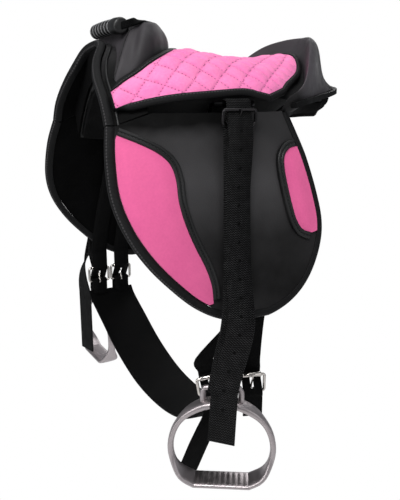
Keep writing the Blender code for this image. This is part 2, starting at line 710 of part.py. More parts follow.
def make_flap_panel(name, line, keep, side, finish, trim, pivot):
    """A pink panel against the flap's binding, with a double welt along its free side."""
    free = sampled(line, 2)
    along_edge = [p for p in flap_inner(BINDING_WIDTH + 3) if keep(p)]
    if math.dist(free[-1], along_edge[0]) > math.dist(free[-1], along_edge[-1]):
        along_edge.reverse()
    outline = free + along_edge
    inside = grid_inside(outline, 16)
    place = on_flap(side)
    add_object(name, *sheet(outline, inside, [], place, PANEL_LOW, PANEL_HIGH), finish, pivot)
    low, crease, high = PANEL_LOW, WELT_HIGH - 1, WELT_HIGH
    profile = [(0, low), (0, crease), (2, high), (4, crease), (6, high), (8, crease), (8, low)]
    path = [(x, at_height(x, z)) for x, z in free]
    middle = Vector(sum((Vector(p) for p in outline), Vector((0, 0)))) / len(outline)
    stations = []
    for o, a, n in skin_stations(path, RIGHT):
        inwards = Vector((middle.x - o.x, middle.y - o.z))
        a = a if Vector((a.x, a.z)).dot(inwards) < 0 else -a
        stations.append((o + a * 0.6, a, n))
    flip = Vector((1, side, 1))
    turned = [(o * flip, a * flip, n * flip) for o, a, n in stations[1:-1]]
    add_object(name.replace("panel", "welt"), *sweep(turned, profile), trim, pivot)


# Handle

def make_handle(rubber, web, pivot):
    """The ribbed grip with a smooth sleeve and cap on the left, and the webbing that holds its ends."""
    cx, _, cz = GRIP_CENTRE
    count = 24
    rings = []
    for i in range(count + 1):
        y = GRIP_HALF * (2 * i / count - 1)
        bend = (y / GRIP_HALF) ** 2
        radius = GRIP_RADIUS
        if i <= 3:
            radius += 1
        elif i > 9 and i % 2 == 0:
            radius -= GRIP_RIB
        rings.append([Vector((cx + bend + a, y, cz - GRIP_SAG * bend + b)) for a, b in circle(radius, 10)])
    add_object("handle_grip", *loft(rings), rubber, pivot)
    for name, side in SIDES.items():
        path = [Vector((x, y * side, z)) for x, y, z in sampled(HANDLE_WEB, 2)]
        stations = []
        for i, (p, level, up) in enumerate(rod_stations(path, (0, 0, 1))):
            turn = smooth((i - 4) / 5)
            across = (up * (1 - turn) + level * side * turn).normalized()
            ahead = level.cross(up)
            stations.append((p, across, ahead.cross(across).normalized()))
        add_object(f"{name}_handle_web", *ribbon(stations, WEB_WIDTH, WEB_THICKNESS), web, pivot)


# Buckles

def make_buckle(prefix, origin, directions, sizes, finish, body):
    """A wire frame with its heel bar at the origin, a tongue on that bar and, if sized, a roller."""
    across, up, out = directions
    half, height, wire = sizes["half"], sizes["height"], sizes["wire"]
    corner = 3
    path = []
    for cx, cz, start in ((half, height, 0), (-half, height, 90), (-half, 0, 180), (half, 0, 270)):
        for step in (0, 45, 90):
            a = math.radians(start + step)
            from_side = cx - math.copysign(corner, cx)
            from_foot = height - corner if cz else corner
            path.append((from_side + corner * math.cos(a), from_foot + corner * math.sin(a)))
    stations = []
    for i, (a, h) in enumerate(path):
        (a0, h0), (a1, h1) = path[i - 1], path[(i + 1) % len(path)]
        ahead = (across * (a1 - a0) + up * (h1 - h0)).normalized()
        stations.append((origin + across * a + up * h, ahead.cross(out).normalized(), out))
    add_object(prefix + "_buckle", *sweep(stations, circle(wire, 6), closed=True), finish, body)

    rest = max(wire, sizes["roller"]) + TONGUE + 0.5
    if sizes["roller"]:
        top = origin + up * height
        pivot = Pivot(prefix + "_roller_axis", top, body)
        reach = half - corner - 1
        rings = [[top + across * s * reach + up * p + out * q for p, q in circle(r, 12)]
                 for s, r in ((-1, sizes["roller"]), (1, sizes["roller"]), (1, ROLLER_BORE), (-1, ROLLER_BORE))]
        add_object(prefix + "_roller", *loft(rings, closed=True), finish, pivot)

    pivot = Pivot(prefix + "_tongue_axis", origin, body)
    wrap = wire + TONGUE + 0.4
    turns = [math.radians(50 - 230 * i / 7) for i in range(8)]
    points = [origin + out * wrap * math.cos(a) + up * wrap * math.sin(a) for a in turns]
    reach = (-2.6, 0.2), (-0.5, 0.45), (rest - 1.6, 0.75), (rest, 0.95), (rest, 1.15)
    points += [origin + out * n + up * height * share for n, share in reach]
    add_object(prefix + "_tongue", *sweep(rod_stations(points, across), circle(TONGUE, 6)), finish, pivot)


def cut_slot(strap, name, origin, directions, heights, depths, finish, body):
    """A slot for a buckle's tongue, between two heights over the heel bar and two depths."""
    across, up, out = directions
    profile = [(-1.9, heights[0]), (1.9, heights[0]), (1.9, heights[1]), (-1.9, heights[1])]
    ends = [(origin + out * d, across, up) for d in depths]
    add_boolean(strap, add_object(name + "_cutter", *sweep(ends, profile), finish, body))


# Stirrups

def strap_point(name, h):
    """Centre line point of a stirrup strap at share h of its length."""
    x, y, z = curve_at(STRAP_LINES[name], h * (len(STRAP_LINES[name]) - 1))
    return Vector((x, y * SIDES[name], z))


def strap_frame(name, h, twist=None):
    """Across, outward and downward directions of the strap at share h."""
    twist = STRAP_TWIST[name] if twist is None else twist
    turn = math.radians(twist) * smooth((h - 0.45) / 0.55)
    across = Vector((math.cos(turn), -math.sin(turn), 0))
    down = (strap_point(name, min(h + 0.02, 1)) - strap_point(name, max(h - 0.02, 0))).normalized()
    out = across.cross(down).normalized() * SIDES[name]
    return across, out, across.cross(out).normalized() * SIDES[name] * -1


def ribbon(stations, width, thickness):
    """A flat strap along stations of point, across direction and normal."""
    w, t = width / 2, thickness / 2
    return sweep(stations, [(-w, -t), (w, -t), (w, t), (-w, t)])


def stirrup_buckle_place(name):
    """Where the strap's buckle is: the middle of its heel bar, and its directions."""
    h = BUCKLE_DROP / STRAP_LENGTH
    across, out, down = strap_frame(name, h)
    lean = math.radians(BUCKLE_LEAN)
    up = -down * math.cos(lean) + out * math.sin(lean)
    front = out * math.cos(lean) + down * math.sin(lean)
    heel = strap_point(name, h) + out * 3
    heel.x = strap_point(name, h * 0.65).x
    return heel, (across, up, front)


def make_strap(name, finish, pivot):
    """One webbing strap: from the buckle down round the iron's eye, up round the bar, and down as a tail."""
    bar = BAR_RADIUS + 0.6 + PLY / 2
    eye = EYE_BAR + 0.6 + PLY / 2
    layer = PLY + 0.5
    heel = GIRTH_FRAME["wire"] + 0.4 + PLY / 2
    stations = []

    def add(h, n, along=0.0, lean=0.0, facing=1, twist=None, aside=0.0):
        across, out, down = strap_frame(name, h, twist)
        point = strap_point(name, h) + out * n + down * along + across * aside
        stations.append((point, across, (out * math.cos(lean) + down * math.sin(lean)) * facing))

    def turn_round(h, radius, first, facing, count, centre=0.0):
        for i in range(count + 1):
            a = first + math.pi * i / count
            add(h, centre + radius * math.cos(a), radius * math.sin(a), a, facing)

    top = BUCKLE_DROP / STRAP_LENGTH
    add(top, 3 + heel, 11)
    for i in range(6):
        a = -math.pi * i / 5
        add(top, 3 + heel * math.cos(a), heel * math.sin(a), a)
    for i in range(3, 15):
        h = i / 16
        add(h, eye * smooth((h - 0.72) / 0.26), facing=-1)
    turn_round(1.0, eye, 0.0, -1, 6)
    for i in range(14, 1, -1):
        h = i / 16
        add(h, -layer - (eye - layer) * smooth((h - 0.72) / 0.26))
    turn_round(0.0, bar, math.pi, -1, 6)
    for h, n in ((0.026, 4.6), (0.05, 6.6), (0.075, 8.7), (0.11, 9.1), (0.15, 7)):
        add(h, n, facing=-1)
    twist, tail = TAIL_TWIST[name], TAIL_REACH[name]
    for i in range(4, 17):
        h = i / 16
        aside = TAIL_SHIFT[name] * smooth((h - 0.3) / 0.7)
        add(h, layer + (tail - layer) * smooth((h - 0.5) / 0.42), facing=-1, twist=twist, aside=aside)
    for i in range(1, 4):
        fall = TAIL_LENGTH[name] * i / 3
        add(1.0, tail, fall, facing=-1, twist=twist, aside=aside)
        point, across, normal = stations.pop()
        lean = Vector((-TAIL_LEAN[name], 0, 0))
        tilted = (across - Vector((0, 0, TAIL_LEAN[name] * across.x))).normalized()
        stations.append((point + lean * fall, tilted, normal))
    return add_object(f"{name}_stirrup_strap", *ribbon(stations, STRAP_WIDTH, PLY), finish, pivot)


def iron_outline():
    """The iron's closed middle line as across and down from the eye's bar; the sole comes last."""
    half = [curve_at(IRON_ARCH, 7 * i / 9) for i in range(9)]
    arch = [(-a, d) for a, d in reversed(half[1:])] + half
    sole = IRON_ARCH[-1][1]
    steps = TREAD_RIBS * 2
    return arch, [(TREAD_HALF * (1 - 2 * i / steps), sole) for i in range(steps + 1)]


def make_iron(name, finish, pivot):
    """The stirrup iron: arch, legs, a ribbed tread and an eye that the strap passes through."""
    turn = math.radians(STRAP_TWIST[name])
    across = Vector((math.cos(turn), -math.sin(turn), 0))
    out = Vector((math.sin(turn), math.cos(turn), 0)) * SIDES[name]
    down = Vector((0, 0, -1))
    origin = strap_point(name, 1.0)
    arch, sole = iron_outline()
    loop = arch + sole
    rings = []
    for i, (a, d) in enumerate(loop):
        (a0, d0), (a1, d1) = loop[i - 1], loop[(i + 1) % len(loop)]
        ahead = Vector((a1 - a0, d1 - d0)).normalized()
        inward = Vector((-ahead.y, ahead.x))
        half_depth = 5 + 4.5 * smooth((44 - d) / 25) + (TREAD_DEPTH / 2 - 5) * smooth((d - 78) / 27)
        half_thick = 3.1 + smooth((40 - d) / 20)
        ribbed = i >= len(arch) and (i - len(arch)) % 2
        ring = []
        for p, q in circle(1, 8):
            lift = 0.9 if ribbed and p > 0.3 else 0.0
            here = Vector((a, d)) + inward * (half_thick + lift) * max(min(p * 1.3, 1), -1)
            depth = half_depth * max(min(q * 1.3, 1), -1)
            ring.append(origin + across * here.x + down * here.y + out * depth)
        rings.append(ring)
    iron = add_object(f"{name}_iron", *loft(rings, closed=True), finish, pivot)
    path = [(-EYE_HALF, EYE_DROP + 2), (-EYE_HALF, 5), (-EYE_HALF + 1.5, 1.5), (-EYE_HALF + 5, 0),
            (EYE_HALF - 5, 0), (EYE_HALF - 1.5, 1.5), (EYE_HALF, 5), (EYE_HALF, EYE_DROP + 2)]
    points = [origin + across * a + down * d for a, d in path]
    eye = add_object(f"{name}_eye_cutter", *sweep(rod_stations(points, out), circle(EYE_BAR, 8)), finish, pivot)
    add_boolean(iron, eye, "UNION")


def make_bar(name, finish):
    """The stirrup bar, a steel rod whose ends are turned in to the tree."""
    side = SIDES[name]
    x, y, z = BAR_CENTRE
    front, rear = x - BAR_HALF, x + BAR_HALF
    leg = [(y - 4, z), (y - 13, z - 2), (y - 16, z - 9), BAR_END]
    path = [(front, *p) for p in reversed(leg)] + [(front + 4, y, z), (rear - 4, y, z)]
    path += [(rear, *p) for p in leg]
    points = [Vector((px, py * side, pz)) for px, py, pz in path]
    add_object(f"{name}_stirrup_bar", *sweep(rod_stations(points, (0, 0, 1)), circle(BAR_RADIUS, 8)), finish)


# Girth

def buckle_directions(spec):
    """Across, up and outward directions of a girth buckle."""
    side = LEFT if spec["buckle"][1] < 0 else RIGHT
    turn = Matrix.Rotation(math.radians(spec["yaw"]), 3, "Z")
    out = turn @ Vector((0, side, 0))
    tip = Matrix.Rotation(math.radians(spec["roll"]), 3, out)
    return tip @ turn @ Vector((1, 0, 0)), tip @ Vector((0, 0, 1)), out


def billet_top(top_x, side):
    """The billet's first two stations, against the tree at the X given."""
    stations = []
    for z in BILLET_TOP_HEIGHTS:
        edge = tree_line(top_x)[-2:]
        p = edge[0].lerp(edge[1], (edge[0].z - z) / (edge[0].z - edge[1].z))
        n = Vector((0, edge[0].z - edge[1].z, edge[1].y - edge[0].y)).normalized()
        p += n * (LAYER_GAP + PLY / 2 + 1)
        stations.append((Vector((top_x, p.y * side, p.z)), Vector((1, 0, 0)), Vector((0, n.y * side, n.z))))
    return stations


def make_billet(name, spec, finish, body):
    """A billet from the tree down behind the roller, over the heel bar, with its free tail."""
    side = LEFT if spec["buckle"][1] < 0 else RIGHT
    directions = across, up, out = buckle_directions(spec)
    origin = Vector(spec["buckle"])
    crown = origin + up * GIRTH_FRAME["height"]
    level = Vector((1, 0, 0))
    top_x = spec["top"]
    stations = billet_top(top_x, side)
    start_z = BILLET_TOP_HEIGHTS[0]
    for z in [z for z in BILLET_HEIGHTS if z > crown.z + BILLET_CLEAR]:
        x = top_x + (crown.x - top_x) * smooth((start_z - z) / (start_z - crown.z)) ** spec["bend"]
        u = at_height(x, z)
        p = skin(x, u, -BILLET_DEPTH, side)
        n = (skin(x, u, 0, side) - p).normalized()
        stations.append((p, (level - n * level.dot(n)).normalized(), n))
    behind, front = 5.6, 6.3
    for height, reach in ((22, -behind), (6, -behind)):
        stations.append((crown + out * reach + up * height, across, out))
    tilt = (out * 18 + up * 12).normalized()
    stations.append((crown - out * behind - up * 0.5, across, tilt))
    stations.append((origin + out * front + up * 2, across, tilt))
    stations.append((origin + out * front - up * 4, across, out))
    start = origin + out * (front + 0.3) - up * 4
    steps = 5
    for i in range(1, steps + 1):
        s = spec["tail"] * i / steps
        inwards = spec["lean"] * max(s - 25, 0)
        fall = Vector((-spec["sweep"] * s * smooth(s / 45), -side * inwards, -s))
        stations.append((start + fall, (across - out.cross(across) * spec["sweep"]).normalized(), out))
    strap = add_object(name + "_billet", *ribbon(stations, BILLET_WIDTH, PLY), finish, body)
    cut_slot(strap, name + "_hole", origin, directions, (4, 17), (-9, 9), finish, body)


def girth_station(t):
    """Centre, across and outward directions of the girth band at share t from left to right."""
    last = len(GIRTH_LINE) - 1
    y, z = curve_at(GIRTH_LINE, t * last)
    ya, za = curve_at(GIRTH_LINE, min(t + 0.01, 1) * last)
    yb, zb = curve_at(GIRTH_LINE, max(t - 0.01, 0) * last)
    x = GIRTH_LEFT_X + (GIRTH_RIGHT_X - GIRTH_LEFT_X) * smooth(t)
    yaw = -GIRTH_LEFT_YAW * (1 - smooth(t * 2.5))
    across = Matrix.Rotation(math.radians(yaw), 3, "Z") @ Vector((1, 0, 0))
    ahead = Vector((0, ya - yb, za - zb)).normalized()
    return Vector((x, y, z)), across, ahead.cross(across).normalized() * -1


def make_girth(finish, body):
    """The webbing band under the pony's chest."""
    steps = 26
    stations = [girth_station(i / steps) for i in range(steps + 1)]
    add_object("girth_band", *ribbon(stations, GIRTH_WIDTH, GIRTH_THICKNESS), finish, body)


def make_chape(name, spec, finish, body):
    """The webbing loop that holds a buckle to the end of the girth, slotted for the tongue."""
    directions = across, up, out = buckle_directions(spec)
    origin = Vector(spec["buckle"])
    wrap = GIRTH_FRAME["wire"] + 0.6 + PLY / 2
    places = (0.012, 0.045, 0.07) if origin.y < 0 else (0.988, 0.955, 0.93)
    plies = []
    for share, t in zip((1, 1, 0.6), places):
        p, a, n = girth_station(t)
        n = n if n.dot(out) > 0 else -n
        plies.append((p + a * spec["along"], a * share, n))
    stations = [(p + n * wrap, a, n) for p, a, n in reversed(plies)]
    for i in range(9):
        a = math.pi * i / 8
        n = out * math.cos(a) + up * math.sin(a)
        stations.append((origin + n * wrap, across, n))
    stations += [(p - n * wrap, a, -n) for p, a, n in plies]
    chape = add_object(name + "_chape", *ribbon(stations, BILLET_WIDTH - 1, PLY), finish, body)
    cut_slot(chape, name + "_slot", origin, directions, (-4.5, 9), (-9, 9), finish, body)


def build():
    for old in list(bpy.data.objects):
        bpy.data.objects.remove(old)
    pink = material("pink_quilt", PINK, 0.85)
    suede = material("pink_suede", PINK_SUEDE, 0.9)
    leather = material("black_leatherette", BLACK, 0.5)
    trim = material("black_binding", BLACK, 0.7)
    web = material("black_webbing", WEB_BLACK, 0.8)
    rubber = material("black_rubber", RUBBER_BLACK, 0.45)
    steel = material("plated_steel", STEEL, 0.25, 1.0)
    alloy = material("cast_aluminium", ALUMINIUM, 0.35, 1.0)
    foam = material("seat_foam", FOAM, 0.95)
    shell = material("tree_shell", BLACK, 0.55)

    make_tree(shell)
    make_filling("seat_foam", FOAM_START, FOAM_END, FOAM_DEPTH, foam)
    make_filling("front_arch_core", ARCH_CORE_START, ARCH_CORE_END, FLAP_THICKNESS + 3, shell)
    core = make_core_cutter(shell)
    make_pommel(leather, core)
    make_cantle(leather, core)
    make_rim(trim)
    make_cover(pink)
    make_cover_binding(trim)
    make_arch(leather, trim)
    make_panel("left_panel", LEFT, leather)
    make_panel("right_panel", RIGHT, leather)
    make_handle(rubber, web, Pivot("handle_axis", HANDLE_ANCHOR))

    for name, side in SIDES.items():
        x, y, z = BAR_CENTRE
        hinge = Pivot(f"{name}_flap_axis", (x, y * side, z))
        make_flap(f"{name}_flap", side, leather, trim, hinge)
        make_flap_panel(f"{name}_knee_panel", KNEE_LINE, lambda p: p[0] < -58 and -203 < p[1] < -33,
                        side, suede, trim, hinge)
        make_flap_panel(f"{name}_thigh_panel", THIGH_LINE, lambda p: p[0] > 50 and -143 < p[1] < -48,
                        side, suede, trim, hinge)
        strap = Pivot(f"{name}_strap_axis", (x, y * side, z), hinge)
        webbing = make_strap(name, web, strap)
        origin, directions = stirrup_buckle_place(name)
        make_buckle(f"{name}_stirrup", origin, directions, STIRRUP_FRAME, steel, strap)
        cut_slot(webbing, f"{name}_turn", origin, directions, (-4.5, 5), (-4.7, 4.4), web, strap)
        cut_slot(webbing, f"{name}_hole", origin, directions, (5.1, 12), (-4, 7), web, strap)
        iron = Pivot(f"{name}_iron_axis", strap_point(name, 1.0), strap)
        make_iron(name, alloy, iron)
        make_bar(name, steel)

    girth = Pivot("girth_axis", GIRTH_PIVOT)
    make_girth(web, girth)
    for name, spec in BILLETS.items():
        make_billet(name, spec, web, girth)
        make_chape(name, spec, web, girth)
        make_buckle(name, Vector(spec["buckle"]), buckle_directions(spec), GIRTH_FRAME, steel, girth)


build()
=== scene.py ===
"""The looks of the pony saddle: fine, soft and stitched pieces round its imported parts.

Sizes are in millimetres, in the same frame as the parts: the pony faces -X, the rider's left is -Y.
MM turns them into Blender's metres.
"""

import functools
import math

import bmesh
import bpy
from mathutils import Matrix, Vector
from mathutils.geometry import delaunay_2d_cdt


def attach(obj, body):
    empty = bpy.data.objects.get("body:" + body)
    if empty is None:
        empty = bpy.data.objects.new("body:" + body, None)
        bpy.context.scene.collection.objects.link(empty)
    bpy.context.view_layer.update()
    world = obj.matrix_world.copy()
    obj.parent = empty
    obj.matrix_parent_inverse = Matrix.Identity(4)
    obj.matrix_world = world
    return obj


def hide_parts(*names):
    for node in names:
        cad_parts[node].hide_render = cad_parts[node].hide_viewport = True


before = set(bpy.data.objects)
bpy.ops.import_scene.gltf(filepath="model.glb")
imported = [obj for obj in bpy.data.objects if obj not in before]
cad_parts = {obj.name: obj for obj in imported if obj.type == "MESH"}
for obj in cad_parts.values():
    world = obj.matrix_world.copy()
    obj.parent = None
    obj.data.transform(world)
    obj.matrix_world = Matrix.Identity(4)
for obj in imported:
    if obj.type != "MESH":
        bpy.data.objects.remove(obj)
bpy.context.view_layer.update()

MM = 0.001
TURN = 2 * math.pi
LEFT, RIGHT = -1, 1
SIDES = {"left": LEFT, "right": RIGHT}

# Saddle sections: half width and height from the centre line down to the flap's lower lip
FRONT_X, MID_FRONT_X, MID_REAR_X, REAR_X = -150, -60, 20, 150
FLAP_LOWER = [(123, -45), (133, -86), (142, -125), (151, -168), (157, -226)]
SKIN_FRONT = [(0, 68), (22, 60), (34, 41), (53, 24), (76, 6), (90, -10),
              (108, -45), (124, -86), (141, -125), (151, -168), (157, -226)]
SKIN_MID = [(0, 51), (45, 48), (78, 38), (98, 22), (108, 5), (114, -10)] + FLAP_LOWER
SKIN_REAR = [(0, 52), (28, 48), (50, 30), (66, 12), (80, -2), (98, -12)] + FLAP_LOWER
SEAT_DIP, DIP_FROM, DIP_TO = 8, -30, 130

# Tree and the panels under it: half width and height, centre outwards
TREE_FRONT = [(0, 36), (16, 29), (24, 20), (40, 2), (58, -19), (74, -39)]
TREE_MID = [(0, 5), (26, 5), (52, 2), (74, -8), (90, -24), (98, -44)]
TREE_REAR = [(0, 9), (17, 9), (24, 8), (30, 7), (36, 5), (40, 3)]
TREE_START, TREE_END, TREE_THICKNESS = -118, 162, 5
FOAM_START, FOAM_END, FOAM_EDGE, FOAM_DEPTH = -98, 132, 4.0, 1.2
LAYER_GAP, FILL_GAP, LINING_AHEAD, LINING_HALF = 1.5, 2.8, 2.4, 0.6
# Stuffed panels: ends in X, depth, how their rear end is rounded and raised, and places across the tree
PANEL_START, PANEL_END, PANEL_CROWN = -118, 175, 22
PANEL_ROUND, PANEL_LIFT = 0.8, 5.4
# The share of its depth that a panel keeps at its ends, what it gains towards the rear, and from where on
PANEL_LEAST, PANEL_GAIN, PANEL_GAIN_FROM, PANEL_GAIN_OVER = 0.16, 0.76, 0.55, 0.3
PANEL_PLACES = [1 + 3.9 * i / 16 for i in range(17)]

# Flap: its edge as points in X and Z, and its thickness
FLAP_EDGE = [(58, -11), (66, -34), (76, -64), (84, -97), (88, -130), (82, -158), (66, -190),
             (44, -212), (14, -225), (-18, -227), (-50, -220), (-78, -205), (-104, -182),
             (-128, -155), (-146, -125), (-155, -92), (-154, -54), (-148, -23.6)]
FLAP_TOP = [(-101, -11.5), (-80, -11.5), (-60, -11.5), (-30, -11.5), (0, -11.5), (28, -11.5)]
FLAP_THICKNESS, BINDING_WIDTH = 6, 9

# Front arch: its edge as X and place on the skin, its foot in X and Z, its rear edge, and the millimetres
# that one place counts for in its flat form
ARCH_EDGE = [(-122, 0.0), (-128, 1.0), (-138, 2.0), (-144, 3.0), (-146.5, 4.0)]
ARCH_FOOT, ARCH_BACK, ARCH_SCALE, ARCH_PIPING_IN = (-148, -22.5), -104.5, 26, 13.5

# Pink panels on the flap: the inner side of each outline, in X and Z
KNEE_LINE = [(-139, -33), (-120, -41), (-103, -50), (-92, -61), (-88, -76), (-88, -98),
             (-84, -120), (-76, -143), (-67, -163), (-61, -183), (-60, -201)]
THIGH_LINE = [(58, -49), (49, -51.5), (42, -60), (41, -74), (43, -92), (46, -110),
              (50, -126), (57, -137), (70, -142)]
# Each panel's line, and the ranges in X and Z where it follows the flap's edge
FLAP_PANELS = {"knee": (KNEE_LINE, (-200, -58), (-203, -33)), "thigh": (THIGH_LINE, (50, 200), (-143, -48))}
PANEL_LOW, PANEL_HIGH, PANEL_PUFF, PUFF_REACH = 1.2, 3.2, 1.9, 14
# Double welt: its height, and its beads' places across, half width and rise
WELT_HIGH, WELT_BEADS, BEAD_HALF, BEAD_RISE = 4.5, (2.0, 6.2), 2.0, 1.6
FLAP_STITCH, CANTLE_STITCH = 3.6, 5.2

# Seat cover: plan outline of one half, in X and Y, and its lower edge in X and Z
COVER_FRONT = [(-27, 0), (-32, 17), (-44, 36), (-59, 57), (-76, 72), (-95, 76),
               (-117, 75.5), (-134.5, 79.5)]
COVER_LOWER = [(-135, -9.5), (-125, -6.5), (-101, -1), (-78, 2), (-53, 4), (-27, 6), (-3, 7),
               (13, 4.5), (28, 2)]
COVER_REAR = [(54, 99), (80, 78), (103, 59), (117, 40), (123, 20), (124, 0)]
COVER_THICKNESS, COVER_BINDING = 5, 6.5
QUILT_STEP, QUILT_CROWN, QUILT_EDGE = 14, 2.2, 9
# Ahead of this X the cover's binding tucks in under the flap's
TUCK_X = -119
# The cover's skirt stands off between two heights, most at a middle in X and less beyond a reach
SKIRT_FLARE, FLARE_FROM, FLARE_TO = 5.0, 24, 6
FLARE_MIDDLE, FLARE_REACH, FLARE_FADE = -25, 35, 50
# Sizes of the grids that fill the flat outlines
SEAT_GRID, FLAP_GRID, PANEL_GRID = 3.5, 9, 5

# Pommel: foot and top outlines of one half in X and Y, from the rear centre to the front centre
POMMEL_FOOT = [(-37, 0), (-41, 15), (-53, 30), (-68, 50), (-86, 66), (-115, 67), (-124, 63),
               (-112, 40), (-103, 0)]
POMMEL_TOP = [(-58, 0), (-59, 16), (-63, 28), (-70, 36), (-77, 39), (-81, 38), (-84, 33),
              (-84, 18), (-84, 0)]
POMMEL_LIP, POMMEL_RISE, POMMEL_FACE = (-84, 80), 0.08, (-95, -110)
POMMEL_STEPS, POMMEL_CORNER, POMMEL_MIDDLE, POMMEL_SWELL = 22, 36, -62, 1.6
# Rings over the pommel's top: share of its size, and rise
POMMEL_DOME = [(0.8, 1.9), (0.5, 3.2), (0.2, 3.8)]

# Cantle: guide lines of one half from the rear centre to the front end
CANTLE_FOOT = [(133, 0, 50), (130, 23, 48), (125, 45, 43), (112, 68, 33),
               (91, 94, 18), (70, 110, 9), (51, 117, 2)]
CANTLE_CREST = [(157, 0, 78), (149, 23, 77), (132, 48, 70), (116, 70, 55),
                (96, 94, 30), (76, 111, 13), (54, 118.5, 4)]
CANTLE_WALL = [(176, 0, 68), (166, 24, 67), (144, 49, 59), (125, 71, 45),
               (101, 94, 24), (80, 110.5, 10), (57, 118.5, 3)]
CANTLE_WAIST = [(187, 0, 31), (174, 25, 29), (151, 49, 25), (130, 71, 19),
                (104, 92, 11), (82, 109, 6), (59, 118, 0)]
CANTLE_RIM = [(210, 0, 17), (192, 26, 14), (163, 49, 10), (133, 70, 7),
              (106, 90, 4), (83, 107, 2), (60, 117, -2)]
CANTLE_UNDER = [(168, 0, 10.5), (162, 22, 10), (141, 43, 7), (121, 62, 2),
                (96, 88, -5), (75, 103, -9), (55, 109.5, -12)]
CANTLE_ROOT = [(134, 0, 2), (131, 20, 2), (125, 41, 0), (111, 65, -6),
               (90, 89, -9), (64, 101, -17), (46, 104, -18)]
CANTLE_SPANS, CANTLE_EDGE, CANTLE_LEDGE = 6, 1.5, 1.6
PIPING_DROP, PIPING_RADIUS = 4.1, 2.2

# Grab handle in front of the pommel: its sleeve as Y and radius, and the webbing from its right end
GRIP_HALF, GRIP_RADIUS, GRIP_SAG = 42, 7.5, 1
GRIP_CENTRE = (-107, 76.5)
GRIP_GROOVE, GRIP_RIBS, GRIP_RIBS_FROM = 3.0, 7, -24.4
GRIP_SLEEVE = [(-42.2, 5.6), (-41.6, 7.2), (-40.8, 8.3), (-39, 8.7), (-27, 8.7), (-25.6, 8.5), (-25, 7.6)]
HANDLE_WEB = [(-106, 42.6, 75.5), (-105, 46, 76), (-101, 48.5, 77.3), (-93, 47, 79.9),
              (-85, 41, 81.2), (-77, 33, 81.4), (-69, 25, 81.4)]
WEB_WIDTH, WEB_THICKNESS = 8, 2

# Stirrup straps: centre lines from the bar to the eye of the iron, left and right as they hang
BAR_RADIUS, STRAP_WIDTH, PLY = 3, 29, 2.0
STRAP_LAYER, STRAP_STEPS = PLY + 0.5, 33
# Along the strap, where it starts to turn, where its plies part round the eye, and where its tail leaves them
TWIST_FROM, TWIST_OVER, PART_FROM, PART_OVER, TAIL_FROM, TAIL_OVER = 0.45, 0.55, 0.72, 0.26, 0.5, 0.42
# The outer ply over the buckle: share of the strap's length, and distance outwards
OVER_BUCKLE = [(0.026, 4.6), (0.05, 6.6), (0.075, 8.7), (0.11, 9.1), (0.15, 7)]
STRAP_LINES = {
    "left": [(-13, 119, -3), (-19, 132, -60), (-26, 145, -118), (-33, 158, -173),
             (-41, 169, -220), (-54, 177, -254), (-64, 183, -282)],
    "right": [(-13, 119, -3), (-28, 133, -60), (-49, 149, -117), (-68, 166, -171),
              (-76, 176, -215), (-75, 184, -250), (-71, 190, -284)],
}
# How the strap and its free tail turn, in degrees, and how the tail hangs
STRAP_TWIST = {"left": 32, "right": -92}
TAIL_LENGTH = {"left": 53, "right": 96}
TAIL_TWIST = {"left": 54, "right": -108}
TAIL_REACH = {"left": 16, "right": 18}
TAIL_SHIFT = {"left": 9, "right": 6}
TAIL_LEAN = {"left": -0.11, "right": 0.15}
BUCKLE_DROP, BUCKLE_LEAN, STRAP_LENGTH = 22, 19, 300

# Iron, seen flat: one half of its arch as across and down from the eye's bar, and bar sizes
IRON_ARCH = [(0, 16), (18, 18.5), (36, 29), (48.5, 46), (53.5, 66), (51, 84), (43, 99), (29, 107.5)]
EYE_BAR, EYE_HALF, EYE_DROP = 3, 19.5, 16
IRON_HALF_DEPTH, IRON_HALF_THICK, EYE_DEEPER = 5, 3.1, 4.5
TREAD_HALF, TREAD_DEPTH, TREAD_RIBS, TREAD_RIB_HIGH = 29, 27, 10, 0.32

# Girth: band centre line in Y and Z from the left buckles to the right ones, and its ends in X
GIRTH_LINE = [(-147, -327), (-140, -336), (-123, -347), (-93, -358), (-50, -362), (5, -355),
              (60, -333), (108, -303), (137, -283), (147, -271)]
GIRTH_WIDTH, GIRTH_THICKNESS = 66, 3.5
GIRTH_LEFT_X, GIRTH_RIGHT_X, GIRTH_LEFT_YAW = -31, -64, 18
BILLET_WIDTH, BILLET_DEPTH, BILLET_BEHIND, BILLET_FRONT = 22, 10.5, 5.6, 6.3
BILLET_TOP, BILLET_HEIGHTS = -27, (-75, -100, -125, -150, -175, -205, -238)
BILLETS = {
    "left_front": {
        "top": -16, "bend": 14, "buckle": (-51, -140, -311), "yaw": -18, "roll": 10,
        "tail": 90, "sweep": 0.28, "lean": 0.25, "along": -21,
    },
    "left_rear": {
        "top": 26, "bend": 2.5, "buckle": (-9, -153.5, -313), "yaw": -18, "roll": 0,
        "tail": 22, "sweep": 0, "lean": 0, "along": 23,
    },
    "right_front": {
        "top": -60, "bend": 1, "buckle": (-80.5, 147, -257), "yaw": 0, "roll": 0,
        "tail": 30, "sweep": 0, "lean": 0, "along": -16.5,
    },
    "right_rear": {
        "top": -20, "bend": 1, "buckle": (-47.5, 147, -257), "yaw": 0, "roll": 0,
        "tail": 30, "sweep": 0, "lean": 0, "along": 16.5,
    },
}
GIRTH_FRAME = {"half": 14.5, "height": 20, "wire": 1.7, "roller": 2.9}
STIRRUP_FRAME = {"half": 19.5, "height": 15, "wire": 1.7, "roller": 0}
BUCKLE_CORNER, ROLLER_BORE, TONGUE = 3, 2.15, 1.2
# Where a tongue passes through the webbing: ranges upwards and outwards from the buckle's heel bar
STRAP_SLOT = (-4.5, 5, -4.7, 4.4), (5.1, 12, -4, 7)
BILLET_SLOT, CHAPE_SLOT = (4, 17, -9, 9), (-4.5, 9, -9, 9)
